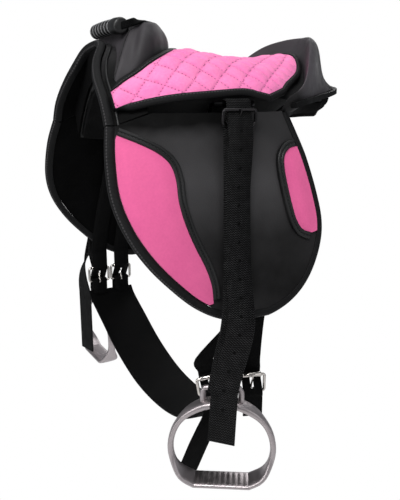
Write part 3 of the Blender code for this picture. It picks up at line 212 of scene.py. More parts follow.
# Where a chape's plies meet the girth, as shares from either end of it, and their widths
CHAPE_PLIES = [(0.012, 1), (0.045, 1), (0.07, 0.6)]

# Painted light and shade: where a leather is painted paler as lit or darker as shaded; middle for the right
# side, reach and amount
FLAP_PAINTED_SHADING = [
    ((-75, 136, -75), 62, 1.3), ((18, 138, -83), 60, 1.2), ((50, 158, -195), 120, -0.95),
    ((-40, 145, -160), 60, -0.7), ((-138, 98, 4), 44, -2.0), ((-116, 106, 4), 44, -1.6),
    ((-92, 112, 4), 44, -1.6), ((-68, 117, 4), 44, -1.6), ((-44, 120, 4), 44, -1.6),
    ((-18, 123, 4), 42, -1.6), ((-130, 74, 42), 50, -1.6),
]
# The moulded leather's painted light and shade: a paler cantle wall, and darker places on the pommel's side
# and at the cantle's ends
SEAT_PAINTED_SHADING = [
    ((58, 118, -4), 30, -2.4), ((112, 98, 42), 60, 1.4), ((-70, 62, 50), 50, -0.7), ((196, 24, 13), 34, -1.9),
]

# Threads, in millimetres and as colours in sRGB; a raised stitch's shares of its length and of its radius
THREAD_STEP, TAPE_RIB, HOLE_EDGE = 1.5, 1.3, (1.9, 1.3)
STITCH_RADIUS, STITCH_BEAD = 0.42, [(-0.5, 0.4), (-0.3, 1), (0.3, 1), (0.5, 0.4)]
TAPE_STITCH, QUILT_STITCH = (0.24, 0.235, 0.24), (0.52, 0.2, 0.36)
# Scales of the leather's noise: pebbles, waves in its surface, in its gloss and in its colour
PEBBLES, WAVES, GLOSS_WAVES, COLOUR_WAVES = 900, 35, 60, 22

# Camera in degrees and millimetres, and the light, in metres and watts
SENSOR, LENS, CAMERA_PLACE, CAMERA_YAW, CAMERA_PITCH = 36, 43.2, (-344.9, -662.3, 6.4), 28.05, 14.53
SKY, SKY_STRENGTH = (0.92, 0.95, 1.0, 1), 0.24
FLOOR_HALF, FLOOR_HEIGHT, FLOOR_COLOUR = 6, -0.9, (0.85, 0.85, 0.85, 1)
# Name, place, target, size and power
LAMPS = [
    ("key", (-1.1, -1.2, 1.3), (0, 0, -0.1), (1.1, 0.8), 32),
    ("front_strip", (-1.5, -0.2, 0.3), (-0.05, 0, -0.1), (0.4, 1.4), 9),
    ("side_fill", (0.9, -1.7, 0.2), (0, 0, -0.15), (1.2, 1.2), 5),
    ("top", (0.3, 0.1, 1.6), (0, 0, 0), (1.2, 1.2), 12.5),
    ("rear", (1.2, 1.3, 0.6), (0, 0, -0.1), (1.0, 1.0), 8),
]


# Curves and surfaces

def smooth(t):
    """Eases from 0 to 1 as t goes from 0 to 1."""
    t = min(max(t, 0.0), 1.0)
    return t * t * (3 - 2 * t)


def curve_at(points, t):
    """The point at t, from 0 to the last index, on a smooth curve through the points."""
    last = len(points) - 1
    i = min(max(int(t), 0), last - 1)
    f = t - i
    around = points[max(i - 1, 0)], points[i], points[i + 1], points[min(i + 2, last)]
    return tuple(
        0.5 * (2 * b + (c - a) * f + (2 * a - 5 * b + 4 * c - d) * f * f + (3 * b - a - 3 * c + d) * f ** 3)
        for a, b, c, d in zip(*around)
    )


def sampled(points, per_span):
    """Points along the smooth curve, per_span of them to each stretch between two given points."""
    count = (len(points) - 1) * per_span
    return [curve_at(points, i / per_span) for i in range(count + 1)]


def blended(x, u, front, mid, rear):
    """A half section's width and height at place u, eased between three stations along X."""
    y, z = curve_at(mid, u)
    if x < MID_FRONT_X:
        share, other = smooth((MID_FRONT_X - x) / (MID_FRONT_X - FRONT_X)), curve_at(front, u)
    else:
        share, other = smooth((x - MID_REAR_X) / (REAR_X - MID_REAR_X)), curve_at(rear, u)
    return y + (other[0] - y) * share, z + (other[1] - z) * share


def section(x, u):
    """The saddle's outer half section at X: width and height, for u from 0 on top to 10 at the lip."""
    y, z = blended(x, u, SKIN_FRONT, SKIN_MID, SKIN_REAR)
    along = min(max((x - DIP_FROM) / (DIP_TO - DIP_FROM), 0), 1)
    return y, z - SEAT_DIP * math.sin(math.pi * along) * max(0.0, 1 - (u / 4) ** 2)


def skin_normal(x, u):
    """The outward normal of the right half of the saddle's skin."""
    d = 0.02
    across = Vector((0, *section(x, u + d))) - Vector((0, *section(x, max(u - d, 0))))
    along = Vector((2, *section(x + 1, u))) - Vector((0, *section(x - 1, u)))
    return along.cross(across).normalized()


def skin(x, u, out=0.0, side=RIGHT):
    """A point on the saddle's skin, moved out along its normal; a negative u crosses the centre line."""
    if u < 0:
        u, side = -u, -side
    y, z = section(x, u)
    n = skin_normal(x, u)
    if u == 0:
        n = Vector((n.x, 0, n.z)).normalized()
    p = Vector((x, y, z)) + n * out
    return Vector((p.x, p.y * side, p.z))


def place_at(x, value, axis):
    """The place u where the section reaches a half width (axis 0) or a height (axis 1)."""
    low, high = 0.0, 10.0
    rising = 1 if axis == 0 else -1
    for _ in range(30):
        middle = (low + high) / 2
        if (section(x, middle)[axis] - value) * rising < 0:
            low = middle
        else:
            high = middle
    return (low + high) / 2


def at_height(x, z):
    """The place u on the skin at X and a height."""
    return place_at(x, z, 1)


def at_width(x, y):
    """The place u on the skin at X and a half width."""
    return place_at(x, y, 0) if y > 0 else 0.0


def linear(colour):
    """Turns an sRGB colour into the linear values that Blender's shaders take."""
    return [c / 12.92 if c <= 0.04045 else ((c + 0.055) / 1.055) ** 2.4 for c in colour]


def end_caps(count, size):
    """The first and the last ring's faces, for rings of a size with so many points in all."""
    return [tuple(range(size)), tuple(range(count - 1, count - 1 - size, -1))]


def loft(rings, closed=False):
    """Joins equal rings of points into one solid, capped at both ends unless it closes on itself."""
    size = len(rings[0])
    vertices = [p for ring in rings for p in ring]
    faces = []
    for i in range(len(rings) if closed else len(rings) - 1):
        a, b = i * size, (i + 1) % len(rings) * size
        for j in range(size):
            k = (j + 1) % size
            faces.append((a + j, a + k, b + k, b + j))
    return vertices, faces if closed else faces + end_caps(len(vertices), size)


def sweep(stations, profile, closed=False):
    """Carries a profile along stations, each a point with the profile's two directions there."""
    rings = [[o + a * p + b * q for p, q in profile] for o, a, b in stations]
    return loft(rings, closed)


def circle(radius, sides):
    turns = [TURN * i / sides for i in range(sides)]
    return [(radius * math.cos(t), radius * math.sin(t)) for t in turns]


def rod_stations(path, up):
    """Stations along a path, with the second direction as near to up as the path allows."""
    path = [Vector(p) for p in path]
    stations = []
    for i, p in enumerate(path):
        ahead = (path[min(i + 1, len(path) - 1)] - path[max(i - 1, 0)]).normalized()
        a = ahead.cross(Vector(up)).normalized()
        stations.append((p, a, a.cross(ahead).normalized()))
    return stations


def sheet(outline, inside, place, low, high):
    """Fills a flat outline and lifts it onto two surfaces: a closed sheet between low and high."""
    points = [Vector(p) for p in outline] + [Vector(p) for p in inside]
    count = len(outline)
    rim = [(i, (i + 1) % count) for i in range(count)]
    flat, _, triangles, *_ = delaunay_2d_cdt(points, rim, [list(range(count))], 1, 1e-4)
    top = [place(p, high) for p in flat]
    bottom = [place(p, low) for p in flat]
    n = len(flat)
    faces = [tuple(f) for f in triangles] + [tuple(n + i for i in reversed(f)) for f in triangles]
    used = dict.fromkeys((a, b) for f in triangles for a, b in zip(f, f[1:] + f[:1]))
    faces += [(b, a, n + a, n + b) for a, b in used if (b, a) not in used]
    return top + bottom, faces


def inside_outline(p, outline):
    """Whether a flat point lies inside a closed outline."""
    x, y = p
    found = False
    for (x0, y0), (x1, y1) in zip(outline, outline[1:] + outline[:1]):
        if (y0 > y) != (y1 > y) and x < (x1 - x0) * (y - y0) / (y1 - y0) + x0:
            found = not found
    return found


def edge_distance(p, outline):
    """The distance from a flat point to the nearest edge of an outline."""
    p = Vector(p)
    least = math.inf
    for a, b in zip(outline, outline[1:] + outline[:1]):
        a, b = Vector(a), Vector(b)
        along = b - a
        t = min(max((p - a).dot(along) / max(along.length_squared, 1e-9), 0), 1)
        least = min(least, (a + along * t - p).length)
    return least


def grid_inside(outline, step):
    """Points of a square grid that lie inside an outline and not too near its edge."""
    xs, ys = [p[0] for p in outline], [p[1] for p in outline]
    found = []
    for i in range(math.floor(min(xs) / step), math.ceil(max(xs) / step)):
        for j in range(math.floor(min(ys) / step), math.ceil(max(ys) / step)):
            p = (i * step, j * step)
            if inside_outline(p, outline) and edge_distance(p, outline) >= step * 0.4:
                found.append(p)
    return found


def tree_line(x, drop=0.0):
    """The tree's upper line at X from left to right, moved down by drop."""
    right = [blended(x, u, TREE_FRONT, TREE_MID, TREE_REAR) for u in range(len(TREE_MID))]
    line = [Vector((x, -y, z - drop)) for y, z in reversed(right[1:])]
    return line + [Vector((x, y, z - drop)) for y, z in right]


def mirrored_loop(half):
    """A closed plan outline from one half's points, which begin and end on the centre line."""
    return half + [(x, -y) for x, y in reversed(half[1:-1])]


def cantle_ring(s, side):
    """The cantle's section at place s, from 0 at the rear centre to 6 at its front end."""
    lines = CANTLE_FOOT, CANTLE_CREST, CANTLE_WALL, CANTLE_WAIST, CANTLE_RIM, CANTLE_UNDER, CANTLE_ROOT
    foot, crest, wall, waist, rim, under, root = (
        Vector((x, y * side, z)) for x, y, z in (curve_at(line, s) for line in lines)
    )
    high = Vector((0, 0, 1)) * (1 - smooth((s - 2) / 3))
    edge = Vector((0, 0, CANTLE_EDGE))
    ledge = rim.lerp(under, 0.45)
    ledge.z = rim.z - CANTLE_LEDGE
    return [
        root, foot, foot.lerp(crest, 0.4) - high * 3, foot.lerp(crest, 0.8) - high,
        crest + high, crest.lerp(wall, 0.5) + high * 2.5, wall, wall.lerp(waist, 0.5) + high,
        waist, waist.lerp(rim, 0.5) - high * 2, rim, rim - edge, ledge, under,
    ]


def panel_ring(x, side):
    """A stuffed panel's section at X: flat against the tree and crowned towards the pony's back."""
    share = (x - PANEL_START) / (PANEL_END - PANEL_START)
    least = PANEL_LEAST + PANEL_GAIN * smooth((share - PANEL_GAIN_FROM) / PANEL_GAIN_OVER)
    full = PANEL_CROWN * max(least, math.sin(math.pi * min(max(share, 0.02), 0.98)) ** 0.45)
    behind = min(max((x - TREE_END) / (PANEL_END - TREE_END), 0), 1)
    full *= math.sqrt(1 - (PANEL_ROUND * behind) ** 2)
    lift = PANEL_LIFT * smooth((x - TREE_END - 0.6) / 3.4)
    line = tree_line(min(x, TREE_END))[len(TREE_MID) - 1:]
    top, crown = [], []
    for u in PANEL_PLACES:
        across = (u - PANEL_PLACES[0]) / (PANEL_PLACES[-1] - PANEL_PLACES[0])
        a, b = line[int(u)], line[int(u) + 1]
        seat = a.lerp(b, u - int(u)) - Vector((0, 0, TREE_THICKNESS + LAYER_GAP - lift))
        inwards = Vector((0, b.z - a.z, a.y - b.y)).normalized()
        seat.x = x
        top.append(seat)
        low = seat + inwards * (2 + full * math.sin(math.pi * (0.06 + 0.88 * across)) ** 0.6)
        low.y = max(low.y, top[0].y + 0.2)
        crown.append(low)
    return [Vector((p.x, p.y * side, p.z)) for p in top + list(reversed(crown))]


def cover_edge():
    """The cover's right half outline as X and place u, from the front centre to the rear centre."""
    front = [(x, at_width(x, y)) for x, y in sampled(COVER_FRONT, 8)]
    lower = [(x, at_height(x, z)) for x, z in sampled(COVER_LOWER, 6)]
    rear = [(x, at_width(x, y)) for x, y in sampled(COVER_REAR, 7)]
    return front + lower + rear


@functools.lru_cache(maxsize=None)
def arc_table(x):
    """Distances along the section at X from the centre line, one for each tenth of a place."""
    table, total, last = [0.0], 0.0, section(x, 0)
    for i in range(1, 61):
        here = section(x, i / 10)
        total += math.dist(last, here)
        table.append(total)
        last = here
    return table


def arc_length(x, u):
    """The signed distance along the section from the centre line to place u."""
    table = arc_table(x)
    i = min(int(abs(u) * 10), 59)
    length = table[i] + (table[i + 1] - table[i]) * (abs(u) * 10 - i)
    return math.copysign(length, u)


def place_from_arc(x, length):
    """The place u at a signed distance along the section."""
    table = arc_table(x)
    for i in range(60):
        if table[i + 1] >= abs(length):
            u = (i + (abs(length) - table[i]) / (table[i + 1] - table[i])) / 10
            return math.copysign(u, length)
    return math.copysign(6.0, length)


def flare(x, u):
    """How far the skirt of the cover stands off, to let the stirrup strap out from under it."""
    low = smooth((FLARE_FROM - section(x, abs(u))[1]) / (FLARE_FROM - FLARE_TO))
    beyond = (abs(x - FLARE_MIDDLE) - FLARE_REACH) / FLARE_FADE
    return SKIRT_FLARE * low * (1 - smooth(beyond))


def skin_stations(path, side, closed=False, flared=False):
    """Stations along a line of X and u on the skin: point, inward direction and normal."""
    stations = []
    last = len(path) - 1
    for i, (x, u) in enumerate(path):
        before = path[i - 1] if i or closed else path[0]
        after = path[(i + 1) % len(path)] if i < last or closed else path[last]
        ahead = (skin(*after, 0, side) - skin(*before, 0, side)).normalized()
        up = (skin(x, u, 1, side) - skin(x, u, 0, side)).normalized()
        lift = flare(x, u) if flared else 0.0
        stations.append((skin(x, u, lift, side), up.cross(ahead).normalized(), up))
    return stations


def arch_edge():
    """The front edge from the centre line down to the flap, as X and place u."""
    return sampled(ARCH_EDGE + [(ARCH_FOOT[0], at_height(*ARCH_FOOT))], 8)


def flap_path():
    """The flap's edge as X and place u, from the rear top corner round to the front one."""
    return [(x, at_height(x, z)) for x, z in sampled(FLAP_EDGE, 7)]


def flap_inner(distance):
    """The flap's edge moved inwards along the surface, as X and Z."""
    stations = skin_stations(flap_path(), RIGHT)
    return [((o + a * distance).x, (o + a * distance).z) for o, a, _ in stations]


def on_flap(side):
    """A function that lifts a flat point in X and Z onto the flap, a height above its outer face."""
    def place(p, height):
        return skin(p[0], at_height(*p), height, side)
    return place


def strap_point(name, h):
    """Centre line point of a stirrup strap at share h of its length."""
    x, y, z = curve_at(STRAP_LINES[name], h * (len(STRAP_LINES[name]) - 1))
    return Vector((x, y * SIDES[name], z))


def strap_frame(name, h, twist=None):
    """Across, outward and downward directions of the strap at share h."""
    twist = STRAP_TWIST[name] if twist is None else twist
    turn = math.radians(twist) * smooth((h - TWIST_FROM) / TWIST_OVER)
    across = Vector((math.cos(turn), -math.sin(turn), 0))
    down = (strap_point(name, min(h + 0.02, 1)) - strap_point(name, max(h - 0.02, 0))).normalized()
    out = across.cross(down).normalized() * SIDES[name]
    return across, out, across.cross(out).normalized() * SIDES[name] * -1


def stirrup_buckle_place(name):
    """Where the strap's buckle is: the middle of its heel bar, and its directions."""
    h = BUCKLE_DROP / STRAP_LENGTH
    across, out, down = strap_frame(name, h)
    lean = math.radians(BUCKLE_LEAN)
    up = -down * math.cos(lean) + out * math.sin(lean)
    front = out * math.cos(lean) + down * math.sin(lean)
    heel = strap_point(name, h) + out * 3
    heel.x = strap_point(name, h * 0.65).x
    return heel, (across, up, front)


def girth_buckle(spec):
    """A girth buckle: its side, the middle of its heel bar, and its directions across, up and outwards."""
    origin = Vector(spec["buckle"])
    side = LEFT if origin.y < 0 else RIGHT
    turn = Matrix.Rotation(math.radians(spec["yaw"]), 3, "Z")
    out = turn @ Vector((0, side, 0))
    tip = Matrix.Rotation(math.radians(spec["roll"]), 3, out)
    return side, origin, (tip @ turn @ Vector((1, 0, 0)), tip @ Vector((0, 0, 1)), out)


def girth_station(t):
    """Centre, across and outward directions of the girth band at share t from left to right."""
    last = len(GIRTH_LINE) - 1
    y, z = curve_at(GIRTH_LINE, t * last)
    ya, za = curve_at(GIRTH_LINE, min(t + 0.01, 1) * last)
    yb, zb = curve_at(GIRTH_LINE, max(t - 0.01, 0) * last)
    x = GIRTH_LEFT_X + (GIRTH_RIGHT_X - GIRTH_LEFT_X) * smooth(t)
    yaw = -GIRTH_LEFT_YAW * (1 - smooth(t * 2.5))
    across = Matrix.Rotation(math.radians(yaw), 3, "Z") @ Vector((1, 0, 0))
    ahead = Vector((0, ya - yb, za - zb)).normalized()
    return Vector((x, y, z)), across, ahead.cross(across).normalized() * -1


# Materials

def worked(operation):
    """A method of Field that one maths node carries out."""
    def method(self, other=0.0):
        return self.finish.maths(operation, self, other)
    return method


class Field:
    """A number or colour that varies over a surface, so that a material's workings read as plain sums."""

    __add__, __sub__ = worked("ADD"), worked("SUBTRACT")
    __mul__, __truediv__ = worked("MULTIPLY"), worked("DIVIDE")
    __gt__, __lt__ = worked("GREATER_THAN"), worked("LESS_THAN")
    __pow__, __abs__ = worked("POWER"), worked("ABSOLUTE")
    floor, sine, root = worked("FLOOR"), worked("SINE"), worked("SQRT")
    folded, largest = worked("PINGPONG"), worked("MAXIMUM")

    def __init__(self, finish, socket):
        self.finish, self.socket = finish, socket

    def ranged(self, low, high, to_low=0.0, to_high=1.0):
        """Goes from to_low to to_high as the number goes from low to high."""
        made = self.finish.node("ShaderNodeMapRange", Value=self, From_Min=low, From_Max=high,
                                To_Min=to_low, To_Max=to_high)
        return Field(self.finish, made.outputs["Result"])


class Finish:
    """A Principled material, the name of the slot it is for, and short ways to add texture nodes to it."""

    def __init__(self, name, slot, colour, roughness, metallic=0.0, gloss=0.5):
        self.slot, self.made = slot, bpy.data.materials.new(name)
        self.made.use_nodes = True
        self.tree = self.made.node_tree
        self.shader = self.tree.nodes["Principled BSDF"]
        self.made.diffuse_color = (*linear(colour), 1)
        self.drive("Base Color", (*linear(colour), 1))
        self.drive("Roughness", roughness)
        self.drive("Metallic", metallic)
        self.drive("Specular IOR Level", gloss)

    def node(self, kind, **inputs):
        made = self.tree.nodes.new(kind)
        for name, value in inputs.items():
            self.feed(made.inputs[name.replace("_", " ")], value)
        return made

    def feed(self, socket, value):
        """Links a field to a socket, or sets the socket's own value."""
        if isinstance(value, Field):
            self.tree.links.new(value.socket, socket)
        else:
            socket.default_value = value

    def drive(self, name, value):
        self.feed(self.shader.inputs[name], value)

    def maths(self, operation, a, b):
        made = self.tree.nodes.new("ShaderNodeMath")
        made.operation = operation
        self.feed(made.inputs[0], a)
        self.feed(made.inputs[1], b)
        return Field(self, made.outputs[0])

    def place(self, kind="Object"):
        return Field(self, self.node("ShaderNodeTexCoord").outputs[kind])

    def flat_place(self):
        """The two coordinates in millimetres that a ribbon or the seat has along its surface."""
        split = self.node("ShaderNodeSeparateXYZ", Vector=self.place("UV"))
        return Field(self, split.outputs["X"]), Field(self, split.outputs["Y"])

    def near(self, middle, reach):
        """A share that is one at a place in millimetres and falls to nothing at the reach."""
        away = self.tree.nodes.new("ShaderNodeVectorMath")
        away.operation = "DISTANCE"
        self.feed(away.inputs[0], self.place())
        away.inputs[1].default_value = [c * MM for c in middle]
        return Field(self, away.outputs["Value"]).ranged(reach * MM, 0.0)

    def noise(self, scale, detail=3.0):
        made = self.node("ShaderNodeTexNoise", Vector=self.place(), Scale=scale, Detail=detail)
        return Field(self, made.outputs["Fac"])

    def mixed(self, share, first, second):
        """A colour between two, by a share; each is an sRGB colour or a field."""
        made = self.tree.nodes.new("ShaderNodeMix")
        made.data_type = "RGBA"
        self.feed(made.inputs["Factor"], share)
        ends = [s for s in made.inputs if s.type == "RGBA"]
        for socket, colour in zip(ends, (first, second)):
            self.feed(socket, colour if isinstance(colour, Field) else (*linear(colour), 1))
        return Field(self, next(s for s in made.outputs if s.type == "RGBA"))

    def bump(self, height, depth, strength=1.0):
        """Adds relief of a depth in millimetres, over any relief the material already has."""
        made = self.node("ShaderNodeBump", Height=height, Strength=strength, Distance=depth * MM)
        socket = self.shader.inputs["Normal"]
        if socket.links:
            self.tree.links.new(socket.links[0].from_socket, made.inputs["Normal"])
        self.tree.links.new(made.outputs["Normal"], socket)


def both_sides(painted_shading):
    """The painted light and shade of both sides, from those of the right side."""
    return [((x, y * side, z), reach, amount) for side in SIDES.values() for (x, y, z), reach, amount in painted_shading]


def leather(name, colour, tint, roughness, grain=0.12, gloss=0.35, painted_shading=(), slot="black_leatherette"):
    """Leatherette: a fine pebbled grain, slow waves and uneven gloss, and painted light and shade in paler or
    darker spots.
    """
    made = Finish(name, slot, colour, roughness, gloss=gloss)
    share = made.noise(COLOUR_WAVES).ranged(0.35, 0.75, *((0.3, 0.7) if painted_shading else (0.0, 1.0)))
    # Painted light and shade: each spot makes the colour paler or darker, and the darker places rougher
    for middle, reach, amount in painted_shading:
        share = share + made.near(middle, reach) * amount
    uneven = made.noise(GLOSS_WAVES).ranged(0.3, 0.7, roughness - 0.06, roughness + 0.08)
    if painted_shading:
        share = share.ranged(-0.6, 1.8)
        uneven = uneven + share.ranged(0.0, 0.8, 0.4, 0.0)
    made.drive("Base Color", made.mixed(share, colour, tint))
    made.drive("Roughness", uneven)
    pebbles = made.node("ShaderNodeTexVoronoi", Vector=made.place(), Scale=PEBBLES)
    made.bump(Field(made, pebbles.outputs["Distance"]), grain)
    made.bump(made.noise(WAVES, 2), 1.1, 0.35)
    return made


def webbing(name, colour, light, rib, soft, holes=None):
    """Woven webbing: ribs across the strap, broken into columns of thread, their crests painted paler as
    highlights, with holes along its middle.
    """
    made = Finish(name, "black_webbing", colour, 0.6, gloss=0.07)
    u, v = made.flat_place()
    odd_column = (u / THREAD_STEP).floor().folded(1.0)
    ribs = ((v / rib + odd_column * 0.35) * TURN).sine()
    threads = (u * (TURN / THREAD_STEP)).sine()
    height = ribs * 0.7 + threads * 0.3
    # Painted highlights: the ribs' crests are coloured paler, as if lit
    share = height.ranged(0.25, 1.0) * (made.noise(140) * 0.5 + soft)
    woven = made.mixed(share, colour, light)
    if holes:
        first, last, step = holes
        nearest = (v - first).folded(step / 2)
        away = (nearest ** 2.0 + u ** 2.0).root()
        hole = away.ranged(*HOLE_EDGE) * ((v > first - 3) * (v < last))
        woven = made.mixed(hole, woven, (0.0, 0.0, 0.0))
        made.bump(hole, -1.0)
    made.drive("Base Color", woven)
    made.bump(height, 0.28)
    return made


def tape(name, colour, light, stitch_at):
    """Binding tape: fine ribs across it, and a row of stitches along one line."""
    made = Finish(name, "black_binding", colour, 0.6, gloss=0.15)
    u, v = made.flat_place()
    ribs = (v * (TURN / TAPE_RIB)).sine()
    woven = made.mixed((ribs + made.noise(260)).ranged(-0.4, 1.8, 0.0, 0.55), colour, light)
    stitch = abs(u - stitch_at).ranged(0.75, 0.35) * v.folded(1.7).ranged(0.45, 0.75)
    made.drive("Base Color", made.mixed(stitch, woven, TAPE_STITCH))
    made.bump(ribs, 0.1)
    made.bump(stitch, 0.45)
    return made


def suede(name, slot, colour, shade, quilted=False):
    """Brushed suede cloth, with a nap that lies unevenly."""
    made = Finish(name, slot, colour, 0.9, gloss=0.15)
    made.drive("Sheen Weight", 0.12)
    made.drive("Sheen Roughness", 0.5)
    nap = made.noise(26, 4).ranged(0.3, 0.75, 0.0, 0.55) + made.noise(420, 2).ranged(0.3, 0.7, 0.0, 0.3)
    cloth = made.mixed(nap, colour, shade)
    if quilted:
        cloth = quilted_cloth(made, cloth, shade)
    made.drive("Base Color", cloth)
    made.bump(made.noise(2200, 2), 0.08)
    return made


def quilted_cloth(made, cloth, shade):
    """Adds the creases, painted darker as shaded, and the stitches that run along both diagonals of the seat.
    """
    x, s = made.flat_place()
    rows, columns = (x + s) / (2 * QUILT_STEP), (x - s) / (2 * QUILT_STEP)
    side = 2 * QUILT_STEP / math.sqrt(2)
    stitches, creases = [], []
    for across, along in ((rows, columns), (columns, rows)):
        off = across.folded(0.5) * side
        stitches.append(off.ranged(0.75, 0.4) * (along * side).folded(1.8).ranged(1.0, 1.3))
        creases.append(off.ranged(2.4, 0.0))
    stitch, crease = stitches[0].largest(stitches[1]), creases[0].largest(creases[1])
    # Painted shade: the creases are coloured darker, as if shaded
    cloth = made.mixed(crease * 0.3, cloth, shade)
    made.bump(crease, -0.5)
    made.bump(stitch, -0.4)
    return made.mixed(stitch * 0.6, cloth, QUILT_STITCH)


def metal(name, slot, colour, roughness, scratch, patchy):
    """Plated or cast metal with faint scratches and uneven polish."""
    made = Finish(name, slot, colour, roughness, 1.0)
    made.drive("Roughness", made.noise(90, 6).ranged(0.3, 0.75, roughness - patchy, roughness + patchy))
    made.bump(made.noise(700, 4), scratch)
    return made


def plain(name, slot, colour, roughness, grain_scale, grain, gloss=0.5):
    """Moulded plastic, rubber or thread: an even colour with a little grain."""
    made = Finish(name, slot, colour, roughness, gloss=gloss)
    made.drive("Base Color", made.mixed(made.noise(120), colour, tuple(c + 0.03 for c in colour)))
    made.bump(made.noise(grain_scale, 3), grain)
    return made


FINISHES = {
    "quilt": suede("pink_quilted_suede", "pink_quilt", (0.985, 0.555, 0.745), (0.87, 0.42, 0.66), True),
    "panel suede": suede("pink_panel_suede", "pink_suede", (0.89, 0.40, 0.60), (0.82, 0.34, 0.55)),
    "flap": leather("black_flap_leather", (0.006, 0.006, 0.006), (0.25, 0.245, 0.25), 0.4,
                    gloss=0.15, painted_shading=both_sides(FLAP_PAINTED_SHADING)),
    "moulded": leather("black_moulded_leather", (0.05, 0.044, 0.05), (0.28, 0.262, 0.28), 0.42,
                       0.08, 0.4, both_sides(SEAT_PAINTED_SHADING)),
    "lining": leather("black_flap_lining", (0.012, 0.012, 0.013), (0.03, 0.03, 0.032), 0.85, 0.2, 0.06),
    "felt": leather("black_panel_cloth", (0.018, 0.018, 0.02), (0.05, 0.05, 0.052), 0.75, 0.25, 0.08),
    "welt": leather("black_cantle_welt", (0.02, 0.02, 0.022), (0.05, 0.05, 0.052), 0.6, 0.05, 0.1,
                    slot="black_binding"),
    "piping": leather("black_piping", (0.035, 0.035, 0.038), (0.09, 0.09, 0.092), 0.45, 0.05,
                      slot="black_binding"),
    "flap tape": tape("black_edge_binding", (0.02, 0.02, 0.022), (0.14, 0.14, 0.145), 1.4),
    "seat tape": tape("black_seat_binding", (0.018, 0.018, 0.02), (0.11, 0.11, 0.115), 1.2),
    "thread": plain("black_thread", "black_binding", (0.13, 0.13, 0.135), 0.6, 1500, 0.05),
    "strap web": webbing("black_strap_webbing", (0.004, 0.004, 0.005), (0.42, 0.42, 0.425), 2.4, 0.0,
                         (36, 330, 19)),
    "fine web": webbing("black_webbing_fine", (0.004, 0.004, 0.005), (0.12, 0.12, 0.125), 1.6, 0.05),
    "rubber": plain("black_grip_rubber", "black_rubber", (0.015, 0.015, 0.016), 0.45, 900, 0.03, 0.3),
    # Painted highlights: pale crests on the grip's ribs
    "painted rib highlights": plain("grip_crest_painted_highlight", "black_rubber", (0.36, 0.36, 0.365), 0.3, 900, 0.03, 1.0),
    "grip core": plain("black_grip_core", "black_rubber", (0.012, 0.012, 0.013), 0.4, 900, 0.03),
    "steel": metal("bright_plated_steel", "plated_steel", (0.80, 0.78, 0.76), 0.16, 0.02, 0.06),
    # Painted shade: the stirrup buckles' steel is darkened for where they hang in the shade under the skirt
    "dark steel": metal("stirrup_buckle_steel_painted_shade", "plated_steel", (0.20, 0.195, 0.20), 0.3, 0.02, 0.08),
    # Painted shade: the stirrup bars' steel is near black for the shade under the skirt
    "bar steel painted as shade": metal("stirrup_bar_steel_painted_shade", None, (0.03, 0.03, 0.032), 0.4, 0.02, 0.08),
    "alloy": metal("cast_polished_aluminium", "cast_aluminium", (0.70, 0.67, 0.675), 0.42, 0.03, 0.07),
    "shell": plain("black_tree_plastic", None, (0.02, 0.02, 0.022), 0.6, 500, 0.08),
    # Painted shade: the foam is near black where it shows in the gap under the skirt
    "foam": plain("seat_foam_painted_shade", "seat_foam", (0.04, 0.04, 0.043), 0.95, 900, 0.4),
}
# The imported parts that stay in sight, and their finish; the stirrup bars' near-black steel is painted
# shade, for the shade under the skirt
CARRIED_OVER = {
    "tree": "shell", "front_arch_core": "shell",
    "left_stirrup_bar": "bar steel painted as shade", "right_stirrup_bar": "bar steel painted as shade",
}


# Pieces

def piece(name, vertices, faces, finish, body="saddle", stands_for=None, flat=None, sharp=50):
    """A smooth mesh from points in millimetres, which rides on a body and hides the solid it stands for."""
    mesh = bpy.data.meshes.new(name)
    mesh.from_pydata([Vector(v) * MM for v in vertices], [], faces)
    if flat:
        layer = mesh.uv_layers.new(name="along_surface")
        for loop in mesh.loops:
            layer.data[loop.index].uv = flat[loop.vertex_index]
    work = bmesh.new()
    work.from_mesh(mesh)
    bmesh.ops.recalc_face_normals(work, faces=work.faces)
    work.to_mesh(mesh)
    work.free()
    mesh.materials.append(FINISHES[finish].made)
    mesh.shade_smooth()
    mesh.set_sharp_from_angle(angle=math.radians(sharp))
    made = bpy.data.objects.new(name, mesh)
    bpy.context.scene.collection.objects.link(made)
    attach(made, body)
    if stands_for:
        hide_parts(stands_for)
    return made


def softened(made, levels):
    """Rounds a padded piece off with subdivision."""
    smoother = made.modifiers.new("smoother", "SUBSURF")
    smoother.levels = smoother.render_levels = levels


def lengths(stations):
    """The distance from the first station to each one."""
    total, last, found = 0.0, stations[0][0], []
    for point, *_ in stations:
        total += (point - last).length
        found.append(total)
        last = point
    return found


def finer(stations, parts):
    """Stations between the given ones, on a smooth curve."""
    made = []
    last = len(stations) - 1
    for i in range(last * parts + 1):
        t = i / parts
        k = min(int(t), last - 1)
        f = t - k
        point = Vector(curve_at([tuple(s[0]) for s in stations[max(k - 1, 0):k + 3]], f + (1 if k else 0)))
        across = stations[k][1].lerp(stations[k + 1][1], f)
        normal = stations[k][2].lerp(stations[k + 1][2], f)
        if normal.length < 0.3:
            normal = stations[k][2] if f < 0.5 else stations[k + 1][2]
        made.append((point, across, normal.normalized()))
    return made


def swept(name, stations, profile, finish, body="saddle", stands_for=None, looped=False, sharp=50):
    """A profile carried along stations, with the distance along it and across it kept for its material."""
    vertices, faces = sweep(stations, profile)
    if looped:
        faces = faces[:-2]
    flat = [(p, length) for length in lengths(stations) for p, _ in profile]
    return piece(name, vertices, faces, finish, body, stands_for, flat, sharp)


